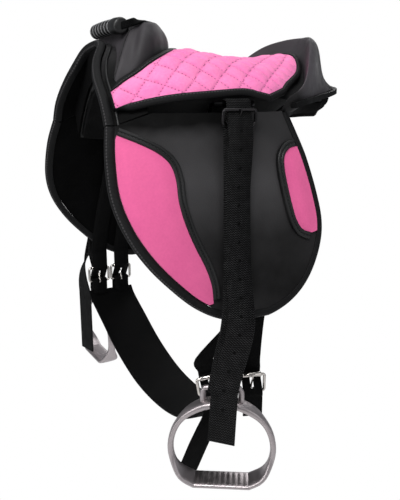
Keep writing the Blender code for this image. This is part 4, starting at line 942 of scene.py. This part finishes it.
def ribbon(name, stations, width, thickness, finish, body, stands_for, start=0.0, gap=None):
    """A webbing strap with rounded edges; gap says at which stations a tongue passes through its middle."""
    w, t = width / 2, thickness / 2
    top = [(-w + 0.6, t), (-1.9, t), (1.9, t), (w - 0.6, t)]
    right, left = [(w, t * 0.3), (w, -t * 0.3)], [(-w, -t * 0.3), (-w, t * 0.3)]
    profile = top + right + [(a, -t) for a, _ in reversed(top)] + left
    size = len(profile)
    vertices = [o + a * p + n * q for o, a, n in stations for p, q in profile]
    flat = [(p, length - start) for length in lengths(stations) for p, _ in profile]
    opened = [bool(gap and gap(s)) for s in stations]
    faces = []
    for i in range(len(stations) - 1):
        a, b = i * size, (i + 1) * size
        cut = opened[i] and opened[i + 1]
        for j in range(size):
            if not (cut and j in (1, 7)):
                k = (j + 1) % size
                faces.append((a + j, a + k, b + k, b + j))
        if cut:
            faces += [(a + 1, b + 1, b + 8, a + 8), (a + 2, a + 7, b + 7, b + 2)]
            if not (i and opened[i - 1]):
                faces.append((a + 1, a + 8, a + 7, a + 2))
            if i + 2 >= len(stations) or not opened[i + 2]:
                faces.append((b + 1, b + 2, b + 7, b + 8))
    faces += end_caps(len(vertices), size)
    return piece(name, vertices, faces, finish, body, stands_for, flat)


def filled(name, outline, step, place, heights, finish, body="saddle", stands_for=None, flat=False,
           lining=None):
    """A flat outline filled with a fine grid and lifted to two heights; a lining covers the lower face."""
    seen = []

    def lifted(p, height):
        seen.append((p[0], p[1]))
        return place((p[0], p[1]), height)

    vertices, faces = sheet(outline, grid_inside(outline, step), lifted, *heights)
    made = piece(name, vertices, faces, finish, body, stands_for, seen if flat else None)
    if lining:
        made.data.materials.append(FINISHES[lining].made)
        for face in made.data.polygons:
            if min(face.vertices) >= len(vertices) // 2:
                face.material_index = 1
    return made


def rounded(inner, outer, low, high):
    """A profile from inner to outer across, with its outer edge rounded between two heights."""
    middle, reach = (low + high) / 2, (high - low) / 2
    turns = [math.pi * i / 5 for i in range(6)]
    round_edge = [(outer - reach + reach * math.sin(a), middle + reach * math.cos(a)) for a in turns]
    return [(inner, low), (inner, high - 0.5), (inner + 0.5, high)] + round_edge


def edge_profile():
    """The binding round the flaps and the arch, from its inner side to its rounded edge."""
    return [(BINDING_WIDTH - p, q) for p, q in reversed(rounded(0, BINDING_WIDTH, -7, 1.2))]


def stitches_along(name, stations, apart, out, up, size, body="saddle"):
    """A row of raised stitches, each a short bead that lies along the line."""
    along = lengths(stations)
    count = int(along[-1] / apart)
    vertices, faces = [], []
    for i in range(count):
        want = along[-1] * (i + 0.5) / count
        k = next(j for j in range(1, len(along)) if along[j] >= want)
        f = (want - along[k - 1]) / max(along[k] - along[k - 1], 1e-6)
        point = stations[k - 1][0].lerp(stations[k][0], f)
        a, b = stations[k][1:]
        ahead = (stations[k][0] - stations[k - 1][0]).normalized()
        centre = point - a * out + b * up
        rings = []
        for s, r in STITCH_BEAD:
            end = centre + ahead * size * s
            rings.append([end + a * x * r + b * y * r for x, y in circle(STITCH_RADIUS, 6)])
        stitch = loft(rings)
        faces += [tuple(len(vertices) + v for v in f) for f in stitch[1]]
        vertices += stitch[0]
    return piece(name, vertices, faces, "thread", body)


# Seat

def make_seat():
    """The quilted cover, swollen between its seams."""
    outline = mirrored_loop([(x, arc_length(x, u)) for x, u in cover_edge()])

    def place(p, height):
        x, s = p
        u = place_from_arc(x, s)
        puff = 0.0
        if height > 1:
            rows, columns = (x + s) / (2 * QUILT_STEP), (x - s) / (2 * QUILT_STEP)
            cell = abs(math.sin(math.pi * rows) * math.sin(math.pi * columns)) ** 0.55
            puff = (cell - 0.3) * 1.5 * QUILT_CROWN * smooth(edge_distance(p, outline) / QUILT_EDGE)
        return skin(x, u, flare(x, u) + height + puff)

    seat = filled("quilted_seat", outline, SEAT_GRID, place, (0.6, COVER_THICKNESS + 0.3), "quilt",
                  stands_for="seat_cover", flat=True)


def make_seat_binding():
    """The tape round the cover's edge, which narrows where it tucks in under the flap's."""
    path = mirrored_loop(cover_edge())
    found = skin_stations(path, RIGHT, closed=True, flared=True)
    stations = []
    for (x, u), (o, a, n) in zip(path, found):
        tuck = 0.8 * smooth((TUCK_X - x) / 14)
        stations.append((o + a * tuck * 0.6, a * (1 - tuck), n))
    stations.append(stations[0])
    profile = rounded(-0.6, COVER_BINDING + 0.3, 0.4, COVER_THICKNESS + 1.6)
    swept("seat_edge_binding", stations, profile, "seat tape", stands_for="seat_binding", looped=True)


def make_padding():
    """The foam under the cover, rounded off at its sides, coloured dark as painted shade where it shows under
    the skirt.
    """
    shares = [2 * j / 24 - 1 for j in range(25)]
    rings = []
    for x in range(FOAM_START, FOAM_END + 1, 10):
        reach = FOAM_EDGE - smooth((x - 60) / 60)
        top = [skin(x, reach * t, -FOAM_DEPTH - 2 * smooth((abs(t) - 0.9) / 0.1)) for t in shares]
        rings.append(top + tree_line(x, -FILL_GAP)[-2:0:-1])
    piece("seat_padding", *loft(rings), "foam", stands_for="seat_foam")


def pommel_rings():
    """The pommel's outline from its foot to its top, drawn in at its foot, and the dome over it."""
    foot, top = mirrored_loop(sampled(POMMEL_FOOT, 6)), mirrored_loop(sampled(POMMEL_TOP, 6))
    rings = []
    for k in range(-1, POMMEL_STEPS + 1):
        t = max(k, 0) / POMMEL_STEPS
        turned = 1 - math.cos(t * math.pi / 2)
        upwards = math.sin(t * math.pi / 2)
        ring = []
        for (fx, fy), (tx, ty) in zip(foot, top):
            flat = smooth((fx - POMMEL_FACE[0]) / (POMMEL_FACE[1] - POMMEL_FACE[0]))
            inwards = turned + (t - turned) * flat
            base = section(fx, at_width(fx, abs(fy)))[1] - (3.5 if k < 0 else 0.4)
            lip = POMMEL_LIP[1] + (tx - POMMEL_LIP[0]) * POMMEL_RISE
            swell = POMMEL_SWELL * math.sin(math.pi * min(t * 1.6, 1)) * (1 - flat)
            x, y = fx + (tx - fx) * inwards, fy + (ty - fy) * inwards
            out = Vector((fx - POMMEL_MIDDLE, fy)).normalized() * swell
            ring.append(Vector((x + out.x, y + out.y, base + (lip - base) * upwards)))
        rings.append(ring)
    middle = sum(rings[-1], Vector()) / len(rings[-1])
    rim = rings[-1]
    for share, rise in POMMEL_DOME:
        rings.append([middle + (p - middle) * share + Vector((0, 0, rise)) for p in rim])
    return rings


def make_pommel():
    """The padded pommel, with a sewn edge along its front corners."""
    rings = pommel_rings()
    pommel = piece("padded_pommel", *loft(rings), "moulded", stands_for="pommel", sharp=80)
    for name, side in SIDES.items():
        corner = POMMEL_CORNER if side > 0 else len(rings[0]) - POMMEL_CORNER
        path = [ring[corner] for ring in rings[1:POMMEL_STEPS + 2]]
        seam = finer(rod_stations(path, (0, side, 0)), 2)
        swept(f"{name}_pommel_seam", seam, circle(0.8, 8), "piping")


def make_cantle():
    """The cantle as one smooth scoop, the piping along its rim and the stitches above it."""
    places = [CANTLE_SPANS * i / 18 for i in range(19)]
    rings = []
    for s, side in [(s, LEFT) for s in reversed(places)] + [(s, RIGHT) for s in places[1:]]:
        ring = cantle_ring(s, side)
        ring[0].z += 5 * (1 - smooth((s - 2) / 2))
        rings.append(ring)
    softened(piece("padded_cantle", *loft(rings), "moulded", stands_for="cantle", sharp=80), 2)

    half = sampled(CANTLE_RIM, 8)
    line = [Vector((x, -y, z)) for x, y, z in reversed(half[1:])] + [Vector(p) for p in half]
    path = [p - Vector((0, 0, PIPING_DROP)) for p in line]
    stations = [(o, -a, b) for o, a, b in rod_stations(path, (0, 0, 1))]
    r = PIPING_RADIUS
    turns = [math.pi * (i / 6 - 0.5) for i in range(7)]
    bead = [(0.6 + r * math.cos(a), r * math.sin(a)) for a in turns]
    swept("cantle_piping", stations, [(-4.6, -r)] + bead + [(-0.6, 3.6), (-4.6, 3.6)], "welt",
          stands_for="cantle_welt")
    stitches_along("cantle_stitches", rod_stations(line, (0, 0, 1)), CANTLE_STITCH, 0.4, 0.7, 3.0)


def make_arch():
    """The front of both flaps above the hinge line, its binding and the piping inside it."""
    edge = arch_edge()
    inner = [(x + BINDING_WIDTH + 0.4, u) for x, u in edge]
    back = [(ARCH_BACK, u) for u in (at_height(ARCH_BACK, -10.8), 3.0, 1.5, 0.0)]
    outline = mirrored_loop([(x, ARCH_SCALE * u) for x, u in inner + back])
    filled("front_arch_leather", outline, PANEL_GRID, lambda p, h: skin(p[0], p[1] / ARCH_SCALE, h),
           (-FLAP_THICKNESS, -1.2), "flap", stands_for="front_arch", lining="lining")
    path = [(x, -u) for x, u in reversed(edge[1:])] + edge
    stations = [(o, -a, n) for o, a, n in skin_stations(path, RIGHT)]
    swept("front_arch_edge", stations, edge_profile(), "flap tape", stands_for="front_arch_binding")
    stations = skin_stations([(x + ARCH_PIPING_IN, u) for x, u in path], RIGHT)
    swept("front_arch_piping", [(o - n * 0.6, a, n) for o, a, n in stations], circle(1.3, 10), "piping")


def make_front_web():
    """The cloth that closes the space between the tree's front end and the inside of the arch."""
    x = TREE_START - LINING_AHEAD
    reach = at_height(x, -10.5)
    inner = tree_line(TREE_START)
    rings = []
    for k in range(41):
        share = k / 40
        edge = skin(x, reach * (2 * share - 1), -FLAP_THICKNESS - 1)
        spot = min(share * (len(inner) - 1), len(inner) - 1.001)
        root = inner[int(spot)].lerp(inner[int(spot) + 1], spot - int(spot)) - Vector((0, 0, 2))
        corners = (-1, root), (-1, edge), (1, edge), (1, root)
        rings.append([Vector((x + LINING_HALF * way, p.y, p.z)) for way, p in corners])
    piece("front_web", *loft(rings), "lining")


def make_panel(name, side):
    """A stuffed panel under the tree."""
    places = list(range(PANEL_START, TREE_END + 1, 5)) + [TREE_END + dx for dx in (0.6, 2, 4, 8)]
    rings = [panel_ring(x, side) for x in places + [PANEL_END - 3, PANEL_END - 1, PANEL_END]]
    panel = piece(f"{name}_stuffed_panel", *loft(rings), "felt", stands_for=f"{name}_panel", sharp=75)
    softened(panel, 1)


# Flaps

def flipped(stations, side):
    """Stations of the right side moved to a side."""
    flip = Vector((1, side, 1))
    return [(o * flip, a * flip, n * flip) for o, a, n in stations]


def make_flap(name, side):
    """A flap of leather with a lining and a sewn binding."""
    body = f"{name}_flap_assembly"
    outline = flap_inner(BINDING_WIDTH + 0.2)
    outline[0] = (outline[0][0], FLAP_EDGE[0][1])
    outline[-1] = (outline[-1][0], FLAP_EDGE[-1][1])
    filled(f"{name}_flap_leather", outline + FLAP_TOP, FLAP_GRID, on_flap(side), (-FLAP_THICKNESS, 0),
           "flap", body, f"{name}_flap", lining="lining")
    stations = flipped(skin_stations(flap_path(), RIGHT), side)
    swept(f"{name}_flap_edge", stations, edge_profile(), "flap tape", body, f"{name}_flap_binding")


def make_flap_panel(name, part, side):
    """A suede panel with a low crown, and the double welt along its free side."""
    body = f"{name}_flap_assembly"
    line, (x_low, x_high), (z_low, z_high) = FLAP_PANELS[part]
    free = sampled(line, 6)
    edge = [(x, z) for x, z in flap_inner(BINDING_WIDTH + 1) if x_low < x < x_high and z_low < z < z_high]
    if math.dist(free[-1], edge[0]) > math.dist(free[-1], edge[-1]):
        edge.reverse()
    outline = free + edge
    lift = on_flap(side)

    def place(p, height):
        crown = PANEL_PUFF * smooth(edge_distance(p, outline) / PUFF_REACH) if height > PANEL_LOW else 0.0
        return lift(p, height + crown)

    panel = filled(f"{name}_{part}_suede", outline, PANEL_GRID, place, (0.3, PANEL_HIGH - 0.6), "panel suede",
                   body, f"{name}_{part}_panel")
    middle = Vector(sum((Vector(p) for p in outline), Vector((0, 0)))) / len(outline)
    stations = []
    for o, a, n in skin_stations([(x, at_height(x, z)) for x, z in free], RIGHT)[:-2]:
        inwards = Vector((middle.x - o.x, middle.y - o.z))
        stations.append((o, a if Vector((a.x, a.z)).dot(inwards) < 0 else -a, n))
    stations = flipped(stations, side)
    low, crease = 0.2, WELT_HIGH - BEAD_RISE
    turns = [math.pi * (1 - i / 6) for i in range(7)]
    beads = [(bead + BEAD_HALF * math.cos(a), crease + BEAD_RISE * math.sin(a))
             for bead in WELT_BEADS for a in turns]
    swept(f"{name}_{part}_double_welt", stations, [(-0.6, low)] + beads + [(8.6, low)], "piping", body,
          f"{name}_{part}_welt", sharp=70)
    seam = [(o + a * sum(WELT_BEADS) / 2 + n * (crease + 0.2), a, n) for o, a, n in stations]
    stitches_along(f"{name}_{part}_stitches", seam, FLAP_STITCH, 0, 0.25, 2.4, body)


# Handle, buckles and straps

def grip_ring(y, radius):
    """The grip's round section at Y."""
    bend = (y / GRIP_HALF) ** 2
    x, z = GRIP_CENTRE
    return [Vector((x + bend + a, y, z - GRIP_SAG * bend + b)) for a, b in circle(radius, 28)]


def make_grip():
    """The grip's core with its smooth sleeve, the ribs round it and their crests, painted pale as the ribs'
    highlights.
    """
    core = GRIP_RADIUS - GRIP_GROOVE
    rings = [grip_ring(y, radius) for y, radius in GRIP_SLEEVE + [(y, core) for y in (-24.6, 0, 20, 40.5)]]
    rings.append(grip_ring(GRIP_HALF + 0.2, core - 1))
    piece("grip_core", *loft(rings), "grip core", "handle", "handle_grip", sharp=75)
    half = (GRIP_HALF - GRIP_RIBS_FROM) / GRIP_RIBS / 2
    turns = [math.pi * (1 - i / 12) for i in range(13)]
    bulge = [(half * 0.86 * math.cos(a), (GRIP_GROOVE + 0.6) * math.sin(a) ** 0.8 - 0.2) for a in turns]
    crest = [(half * 0.34 * math.cos(a), GRIP_GROOVE - 0.6 + 1.3 * math.sin(a) ** 0.8) for a in turns]
    # The crests are painted pale, as the ribs' highlights
    for name, profile, finish in (("grip_ribs", bulge, "rubber"), ("grip_highlight_crests", crest, "painted rib highlights")):
        vertices, faces = [], []
        for n in range(GRIP_RIBS):
            middle = GRIP_RIBS_FROM + half * (2 * n + 1)
            rib = loft([grip_ring(middle + dy, core + rise) for dy, rise in profile])
            faces += [tuple(i + len(vertices) for i in face) for face in rib[1]]
            vertices += rib[0]
        piece(name, vertices, faces, finish, "handle", sharp=75)


def make_handle_strap(name, side):
    """The webbing at one end of the grip, which turns flat on its way into the pommel."""
    path = [Vector((x, y * side, z)) for x, y, z in sampled(HANDLE_WEB, 6)]
    stations = []
    for i, (p, level, up) in enumerate(rod_stations(path, (0, 0, 1))):
        turn = smooth((i - 12) / 15)
        across = (up * (1 - turn) + level * side * turn).normalized()
        stations.append((p, across, level.cross(up).cross(across).normalized()))
    ribbon(f"{name}_handle_strap", stations, WEB_WIDTH, WEB_THICKNESS, "fine web", "handle",
           f"{name}_handle_web")


def frame_stations(origin, directions, half, height):
    """Once round a buckle's frame, whose corners are rounded."""
    across, up, out = directions
    path = []
    for cx, cz, start in ((half, height, 0), (-half, height, 90), (-half, 0, 180), (half, 0, 270)):
        for step in range(0, 91, 15):
            a = math.radians(start + step)
            from_side = cx - math.copysign(BUCKLE_CORNER, cx)
            from_foot = height - BUCKLE_CORNER if cz else BUCKLE_CORNER
            path.append((from_side + BUCKLE_CORNER * math.cos(a), from_foot + BUCKLE_CORNER * math.sin(a)))
    stations = []
    for i, (a, h) in enumerate(path):
        (a0, h0), (a1, h1) = path[i - 1], path[(i + 1) % len(path)]
        ahead = (across * (a1 - a0) + up * (h1 - h0)).normalized()
        stations.append((origin + across * a + up * h, ahead.cross(out).normalized(), out))
    return stations


def tongue_rings(origin, directions, height, wire, roller):
    """A buckle's tongue, bent round the heel bar and laid on the roller or the frame."""
    across, up, out = directions
    rest = max(wire, roller) + TONGUE + 0.5
    wrap = wire + TONGUE + 0.4
    turns = [math.radians(50 - 230 * i / 14) for i in range(15)]
    points = [origin + out * wrap * math.cos(a) + up * wrap * math.sin(a) for a in turns]
    reach = (-2.6, 0.2), (-0.5, 0.45), (rest - 1.6, 0.75), (rest, 0.95), (rest, 1.15)
    points += [origin + out * n + up * height * share for n, share in reach]
    stations = finer(rod_stations(points, across), 2)
    rings = []
    for i, (o, a, b) in enumerate(stations):
        size = TONGUE * (1 - 0.35 * smooth((i / (len(stations) - 1) - 0.7) / 0.3))
        rings.append([o + a * p + b * q for p, q in circle(size, 10)])
    return rings


def make_buckle(prefix, bodies, origin, directions, sizes, finish):
    """A round wire frame, its tongue and its roller, finer than the solids they stand for."""
    across, up, out = directions
    half, height, wire, roller = (sizes[key] for key in ("half", "height", "wire", "roller"))
    frame_mesh = sweep(frame_stations(origin, directions, half, height), circle(wire, 14), closed=True)
    piece(prefix + "_frame", *frame_mesh, finish, bodies[0], prefix + "_buckle")
    if roller:
        top = origin + up * height
        reach = half - BUCKLE_CORNER - 1
        ends = [(-1, roller - 0.4), (-0.96, roller), (0.96, roller), (1, roller - 0.4)]
        ends += [(1, ROLLER_BORE), (-1, ROLLER_BORE)]
        rings = [[top + across * s * reach + up * p + out * q for p, q in circle(r, 20)] for s, r in ends]
        piece(prefix + "_barrel", *loft(rings, closed=True), finish, bodies[1], prefix + "_roller")
    rings = tongue_rings(origin, directions, height, wire, roller)
    piece(prefix + "_pin", *loft(rings), finish, bodies[2], prefix + "_tongue")


class StrapPath:
    """The webbing of one stirrup as stations, from its buckle round its bar and its iron to its tail."""

    def __init__(self, name):
        self.name, self.stations = name, []

    def add(self, h, n, along=0.0, lean=0.0, facing=1, twist=None, aside=0.0):
        """A station at share h, moved outwards by n, along the strap and aside."""
        across, out, down = strap_frame(self.name, h, twist)
        point = strap_point(self.name, h) + out * n + down * along + across * aside
        self.stations.append((point, across, (out * math.cos(lean) + down * math.sin(lean)) * facing))

    def turn_round(self, h, radius, first):
        for i in range(13):
            a = first + math.pi * i / 12
            self.add(h, radius * math.cos(a), radius * math.sin(a), a, -1)

    def add_tail(self):
        """The free end, which leaves the plies, falls outside the iron and leans."""
        name, reach, tail_lean = self.name, TAIL_REACH[self.name], TAIL_LEAN[self.name]
        for h in [i / STRAP_STEPS for i in range(8, 34)]:
            outwards = STRAP_LAYER + (reach - STRAP_LAYER) * smooth((h - TAIL_FROM) / TAIL_OVER)
            aside = TAIL_SHIFT[name] * smooth((h - 0.3) / 0.7)
            self.add(h, outwards, facing=-1, twist=TAIL_TWIST[name], aside=aside)
        for i in range(1, 10):
            fall = TAIL_LENGTH[name] * i / 9
            self.add(1.0, reach, fall, facing=-1, twist=TAIL_TWIST[name], aside=aside)
            point, across, normal = self.stations.pop()
            leaning = (across - Vector((0, 0, tail_lean * across.x))).normalized()
            self.stations.append((point + Vector((-tail_lean, 0, 0)) * fall, leaning, normal))


def strap_stations(name):
    """A stirrup strap's stations, and which of them is on the bar."""
    bar, eye = (radius + 0.6 + PLY / 2 for radius in (BAR_RADIUS, EYE_BAR))
    heel = STIRRUP_FRAME["wire"] + 0.4 + PLY / 2
    top = BUCKLE_DROP / STRAP_LENGTH
    path = StrapPath(name)
    path.add(top, 3 + heel, 11)
    for i in range(11):
        a = -math.pi * i / 10
        path.add(top, 3 + heel * math.cos(a), heel * math.sin(a), a)
    for h in [i / STRAP_STEPS for i in range(6, 31)]:
        path.add(h, eye * smooth((h - PART_FROM) / PART_OVER), facing=-1)
    path.turn_round(1.0, eye, 0.0)
    for h in [i / STRAP_STEPS for i in range(30, 3, -1)]:
        path.add(h, -STRAP_LAYER - (eye - STRAP_LAYER) * smooth((h - PART_FROM) / PART_OVER))
    path.turn_round(0.0, bar, math.pi)
    on_bar = len(path.stations) - 6
    for h, n in OVER_BUCKLE:
        path.add(h, n, facing=-1)
    path.add_tail()
    return path.stations, on_bar


def through(origin, directions, *ranges):
    """Says whether a station lies where a buckle's tongue needs a slot."""
    up, out = directions[1:]

    def found(station):
        offset = station[0] - origin
        h, d = offset.dot(up), offset.dot(out)
        return any(h0 < h < h1 and d0 < d < d1 for h0, h1, d0, d1 in ranges)
    return found


def make_strap(name):
    """A stirrup strap and its buckle."""
    stations, on_bar = strap_stations(name)
    origin, directions = stirrup_buckle_place(name)
    gap = through(origin, directions, *STRAP_SLOT)
    body = f"{name}_strap"
    ribbon(f"{name}_strap_webbing", stations, STRAP_WIDTH, PLY, "strap web", body, f"{name}_stirrup_strap",
           lengths(stations)[on_bar], gap)
    bodies = body, None, f"{name}_strap_tongue"
    # Its steel is darkened as painted shade, for the shade under the skirt
    make_buckle(f"{name}_stirrup", bodies, origin, directions, STIRRUP_FRAME, "dark steel")


def iron_sections():
    """The iron's path, its arch and then its tread, with the height of the tread's ribs at each point."""
    half = [curve_at(IRON_ARCH, 7 * i / 28) for i in range(28)]
    arch = [(-a, d) for a, d in reversed(half[1:])] + half
    steps = TREAD_RIBS * 10
    sole = [(TREAD_HALF * (1 - 2 * i / steps), IRON_ARCH[-1][1]) for i in range(steps + 1)]
    ribs = [TREAD_RIB_HIGH * (0.5 - 0.5 * math.cos(TURN * i / 10)) ** 0.8 for i in range(steps + 1)]
    return arch + sole, [0.0] * len(arch) + ribs


def make_iron(name):
    """The stirrup iron with a rounded section, an eye for the strap and a ribbed tread."""
    turn = math.radians(STRAP_TWIST[name])
    across = Vector((math.cos(turn), -math.sin(turn), 0))
    out = Vector((math.sin(turn), math.cos(turn), 0)) * SIDES[name]
    down = Vector((0, 0, -1))
    origin = strap_point(name, 1.0)
    path, ribs = iron_sections()
    rings = []
    for i, (a, d) in enumerate(path):
        (a0, d0), (a1, d1) = path[i - 1], path[(i + 1) % len(path)]
        ahead = Vector((a1 - a0, d1 - d0)).normalized()
        inward = Vector((-ahead.y, ahead.x))
        half_depth = IRON_HALF_DEPTH + EYE_DEEPER * smooth((44 - d) / 25)
        half_depth += (TREAD_DEPTH / 2 - IRON_HALF_DEPTH) * smooth((d - 78) / 27)
        half_thick = IRON_HALF_THICK + smooth((40 - d) / 20)
        ring = []
        for p, q in circle(1, 20):
            p = math.copysign(abs(p) ** 0.6, p)
            q = math.copysign(abs(q) ** 0.7, q)
            lift = ribs[i] if p > 0.5 and abs(q) < 0.92 else 0.0
            here = Vector((a, d)) + inward * (half_thick * p + lift)
            ring.append(origin + across * here.x + down * here.y + out * half_depth * q)
        rings.append(ring)
    body = f"{name}_stirrup"
    piece(f"{name}_cast_iron", *loft(rings, closed=True), "alloy", body, f"{name}_iron", sharp=60)
    corner = [(EYE_HALF, EYE_DROP + 2), (EYE_HALF, 6), (EYE_HALF - 1.2, 2.2), (EYE_HALF - 4.5, 0)]
    points = [origin + across * a + down * d for a, d in [(-a, d) for a, d in corner] + corner[::-1]]
    piece(f"{name}_eye", *sweep(finer(rod_stations(points, out), 4), circle(EYE_BAR, 16)), "alloy", body)


def billet_stations(spec):
    """A billet from the tree down behind the roller, over the heel bar, and its tail."""
    side, origin, (across, up, out) = girth_buckle(spec)
    crown = origin + up * GIRTH_FRAME["height"]
    level = Vector((1, 0, 0))
    top_x = spec["top"]
    stations = []
    for z in (BILLET_TOP, BILLET_TOP - 14):
        edge = tree_line(top_x)[-2:]
        p = edge[0].lerp(edge[1], (edge[0].z - z) / (edge[0].z - edge[1].z))
        n = Vector((0, edge[0].z - edge[1].z, edge[1].y - edge[0].y)).normalized()
        p += n * (LAYER_GAP + PLY / 2 + 1)
        stations.append((Vector((top_x, p.y * side, p.z)), level, Vector((0, n.y * side, n.z))))
    for z in BILLET_HEIGHTS[:7 if side == LEFT else 6]:
        x = top_x + (crown.x - top_x) * smooth((BILLET_TOP - z) / (BILLET_TOP - crown.z)) ** spec["bend"]
        u = at_height(x, z)
        p = skin(x, u, -BILLET_DEPTH, side)
        n = (skin(x, u, 0, side) - p).normalized()
        stations.append((p, (level - n * level.dot(n)).normalized(), n))
    for height, reach in ((22, -BILLET_BEHIND), (6, -BILLET_BEHIND)):
        stations.append((crown + out * reach + up * height, across, out))
    tilt = (out * 18 + up * 12).normalized()
    stations.append((crown - out * BILLET_BEHIND - up * 0.5, across, tilt))
    stations.append((origin + out * BILLET_FRONT + up * 2, across, tilt))
    stations.append((origin + out * BILLET_FRONT - up * 4, across, out))
    start = origin + out * (BILLET_FRONT + 0.3) - up * 4
    for i in range(1, 6):
        s = spec["tail"] * i / 5
        inwards = spec["lean"] * max(s - 25, 0)
        fall = Vector((-spec["sweep"] * s * smooth(s / 45), -side * inwards, -s))
        stations.append((start + fall, (across - out.cross(across) * spec["sweep"]).normalized(), out))
    return stations


def make_billet(name, spec):
    _, origin, directions = girth_buckle(spec)
    ribbon(f"{name}_billet_webbing", finer(billet_stations(spec), 5), BILLET_WIDTH, PLY, "fine web", "girth",
           f"{name}_billet", gap=through(origin, directions, BILLET_SLOT))


def make_girth():
    stations = [girth_station(i / 90) for i in range(91)]
    ribbon("girth_webbing", stations, GIRTH_WIDTH, GIRTH_THICKNESS, "fine web", "girth", "girth_band")


def make_chape(name, spec):
    """A girth buckle, and the webbing round its heel bar that is sewn to both faces of the band."""
    side, origin, directions = girth_buckle(spec)
    across, up, out = directions
    wrap = GIRTH_FRAME["wire"] + 0.6 + PLY / 2
    plies = []
    for t, share in CHAPE_PLIES:
        p, a, n = girth_station(t if side == LEFT else 1 - t)
        n = n if n.dot(out) > 0 else -n
        plies.append((p + a * spec["along"], a * share, n))
    stations = [(p + n * wrap, a, n) for p, a, n in reversed(plies)]
    for i in range(9):
        a = math.pi * i / 8
        n = out * math.cos(a) + up * math.sin(a)
        stations.append((origin + n * wrap, across, n))
    stations += [(p - n * wrap, a, -n) for p, a, n in plies]
    ribbon(f"{name}_chape_webbing", finer(stations, 3), BILLET_WIDTH - 1, PLY, "fine web", "girth",
           f"{name}_chape", gap=through(origin, directions, CHAPE_SLOT))
    bodies = "girth", f"{name}_roller_body", f"{name}_tongue_body"
    make_buckle(name, bodies, origin, directions, GIRTH_FRAME, "steel")


# Camera, light and floor

def make_camera():
    data = bpy.data.cameras.new("camera")
    camera = bpy.data.objects.new("camera", data)
    bpy.context.scene.collection.objects.link(camera)
    bpy.context.scene.camera = camera
    data.sensor_width, data.lens, data.clip_start = SENSOR, LENS, 0.01
    yaw, pitch = math.radians(CAMERA_YAW), math.radians(CAMERA_PITCH)
    forward = Vector((math.sin(yaw) * math.cos(pitch), math.cos(yaw) * math.cos(pitch), -math.sin(pitch)))
    camera.location = Vector(CAMERA_PLACE) * MM
    camera.rotation_euler = forward.to_track_quat("-Z", "Y").to_euler()


def make_lamp(name, place, target, size, power):
    data = bpy.data.lights.new(name, "AREA")
    data.shape = "RECTANGLE"
    data.size, data.size_y = size
    data.energy = power
    lamp = bpy.data.objects.new(name, data)
    lamp.location = place
    lamp.rotation_euler = (Vector(target) - Vector(place)).to_track_quat("-Z", "Y").to_euler()
    bpy.context.scene.collection.objects.link(lamp)


def seen_white(tree, output, plain_shader):
    """Shows pure white to the camera and through glass, and plain_shader to all else."""
    path = tree.nodes.new("ShaderNodeLightPath")
    one = tree.nodes.new("ShaderNodeMath")
    one.operation = "MAXIMUM"
    tree.links.new(path.outputs["Is Camera Ray"], one.inputs[0])
    tree.links.new(path.outputs["Is Transmission Ray"], one.inputs[1])
    kind = "Emission" if output.type == "OUTPUT_MATERIAL" else "Background"
    white = tree.nodes.new("ShaderNode" + kind)
    white.inputs["Color"].default_value = (1, 1, 1, 1)
    mix = tree.nodes.new("ShaderNodeMixShader")
    for source, socket in zip((one, plain_shader, white), mix.inputs):
        tree.links.new(source.outputs[0], socket)
    tree.links.new(mix.outputs[0], output.inputs["Surface"])


def make_surroundings():
    """A pale floor well below the hanging saddle, and a white room."""
    world = bpy.data.worlds.new("studio")
    world.use_nodes = True
    bpy.context.scene.world = world
    ground = world.node_tree.nodes["Background"]
    ground.inputs["Color"].default_value = SKY
    ground.inputs["Strength"].default_value = SKY_STRENGTH
    seen_white(world.node_tree, world.node_tree.nodes["World Output"], ground)
    mesh = bpy.data.meshes.new("floor")
    corners = (-1, -1), (1, -1), (1, 1), (-1, 1)
    mesh.from_pydata([(FLOOR_HALF * x, FLOOR_HALF * y, FLOOR_HEIGHT) for x, y in corners], [], [(0, 1, 2, 3)])
    floor = bpy.data.objects.new("floor", mesh)
    bpy.context.scene.collection.objects.link(floor)
    pale = bpy.data.materials.new("pale_floor")
    pale.use_nodes = True
    shader = pale.node_tree.nodes["Principled BSDF"]
    shader.inputs["Base Color"].default_value = FLOOR_COLOUR
    shader.inputs["Roughness"].default_value = 0.9
    seen_white(pale.node_tree, pale.node_tree.nodes["Material Output"], shader)
    mesh.materials.append(pale)
    bpy.context.scene.view_settings.view_transform = "Standard"
    for lamp in LAMPS:
        make_lamp(*lamp)


def build():
    make_camera()
    make_surroundings()
    for make in (make_seat, make_seat_binding, make_padding, make_pommel, make_cantle, make_arch,
                 make_front_web, make_grip):
        make()
    for name, side in SIDES.items():
        make_handle_strap(name, side)
    for name, side in SIDES.items():
        make_panel(name, side)
        make_flap(name, side)
        for part in FLAP_PANELS:
            make_flap_panel(name, part, side)
        make_strap(name)
        make_iron(name)
    make_girth()
    for name, spec in BILLETS.items():
        make_billet(name, spec)
        make_chape(name, spec)
    for name, finish in CARRIED_OVER.items():
        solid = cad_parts[name]
        solid.data.materials.clear()
        solid.data.materials.append(FINISHES[finish].made)


build()
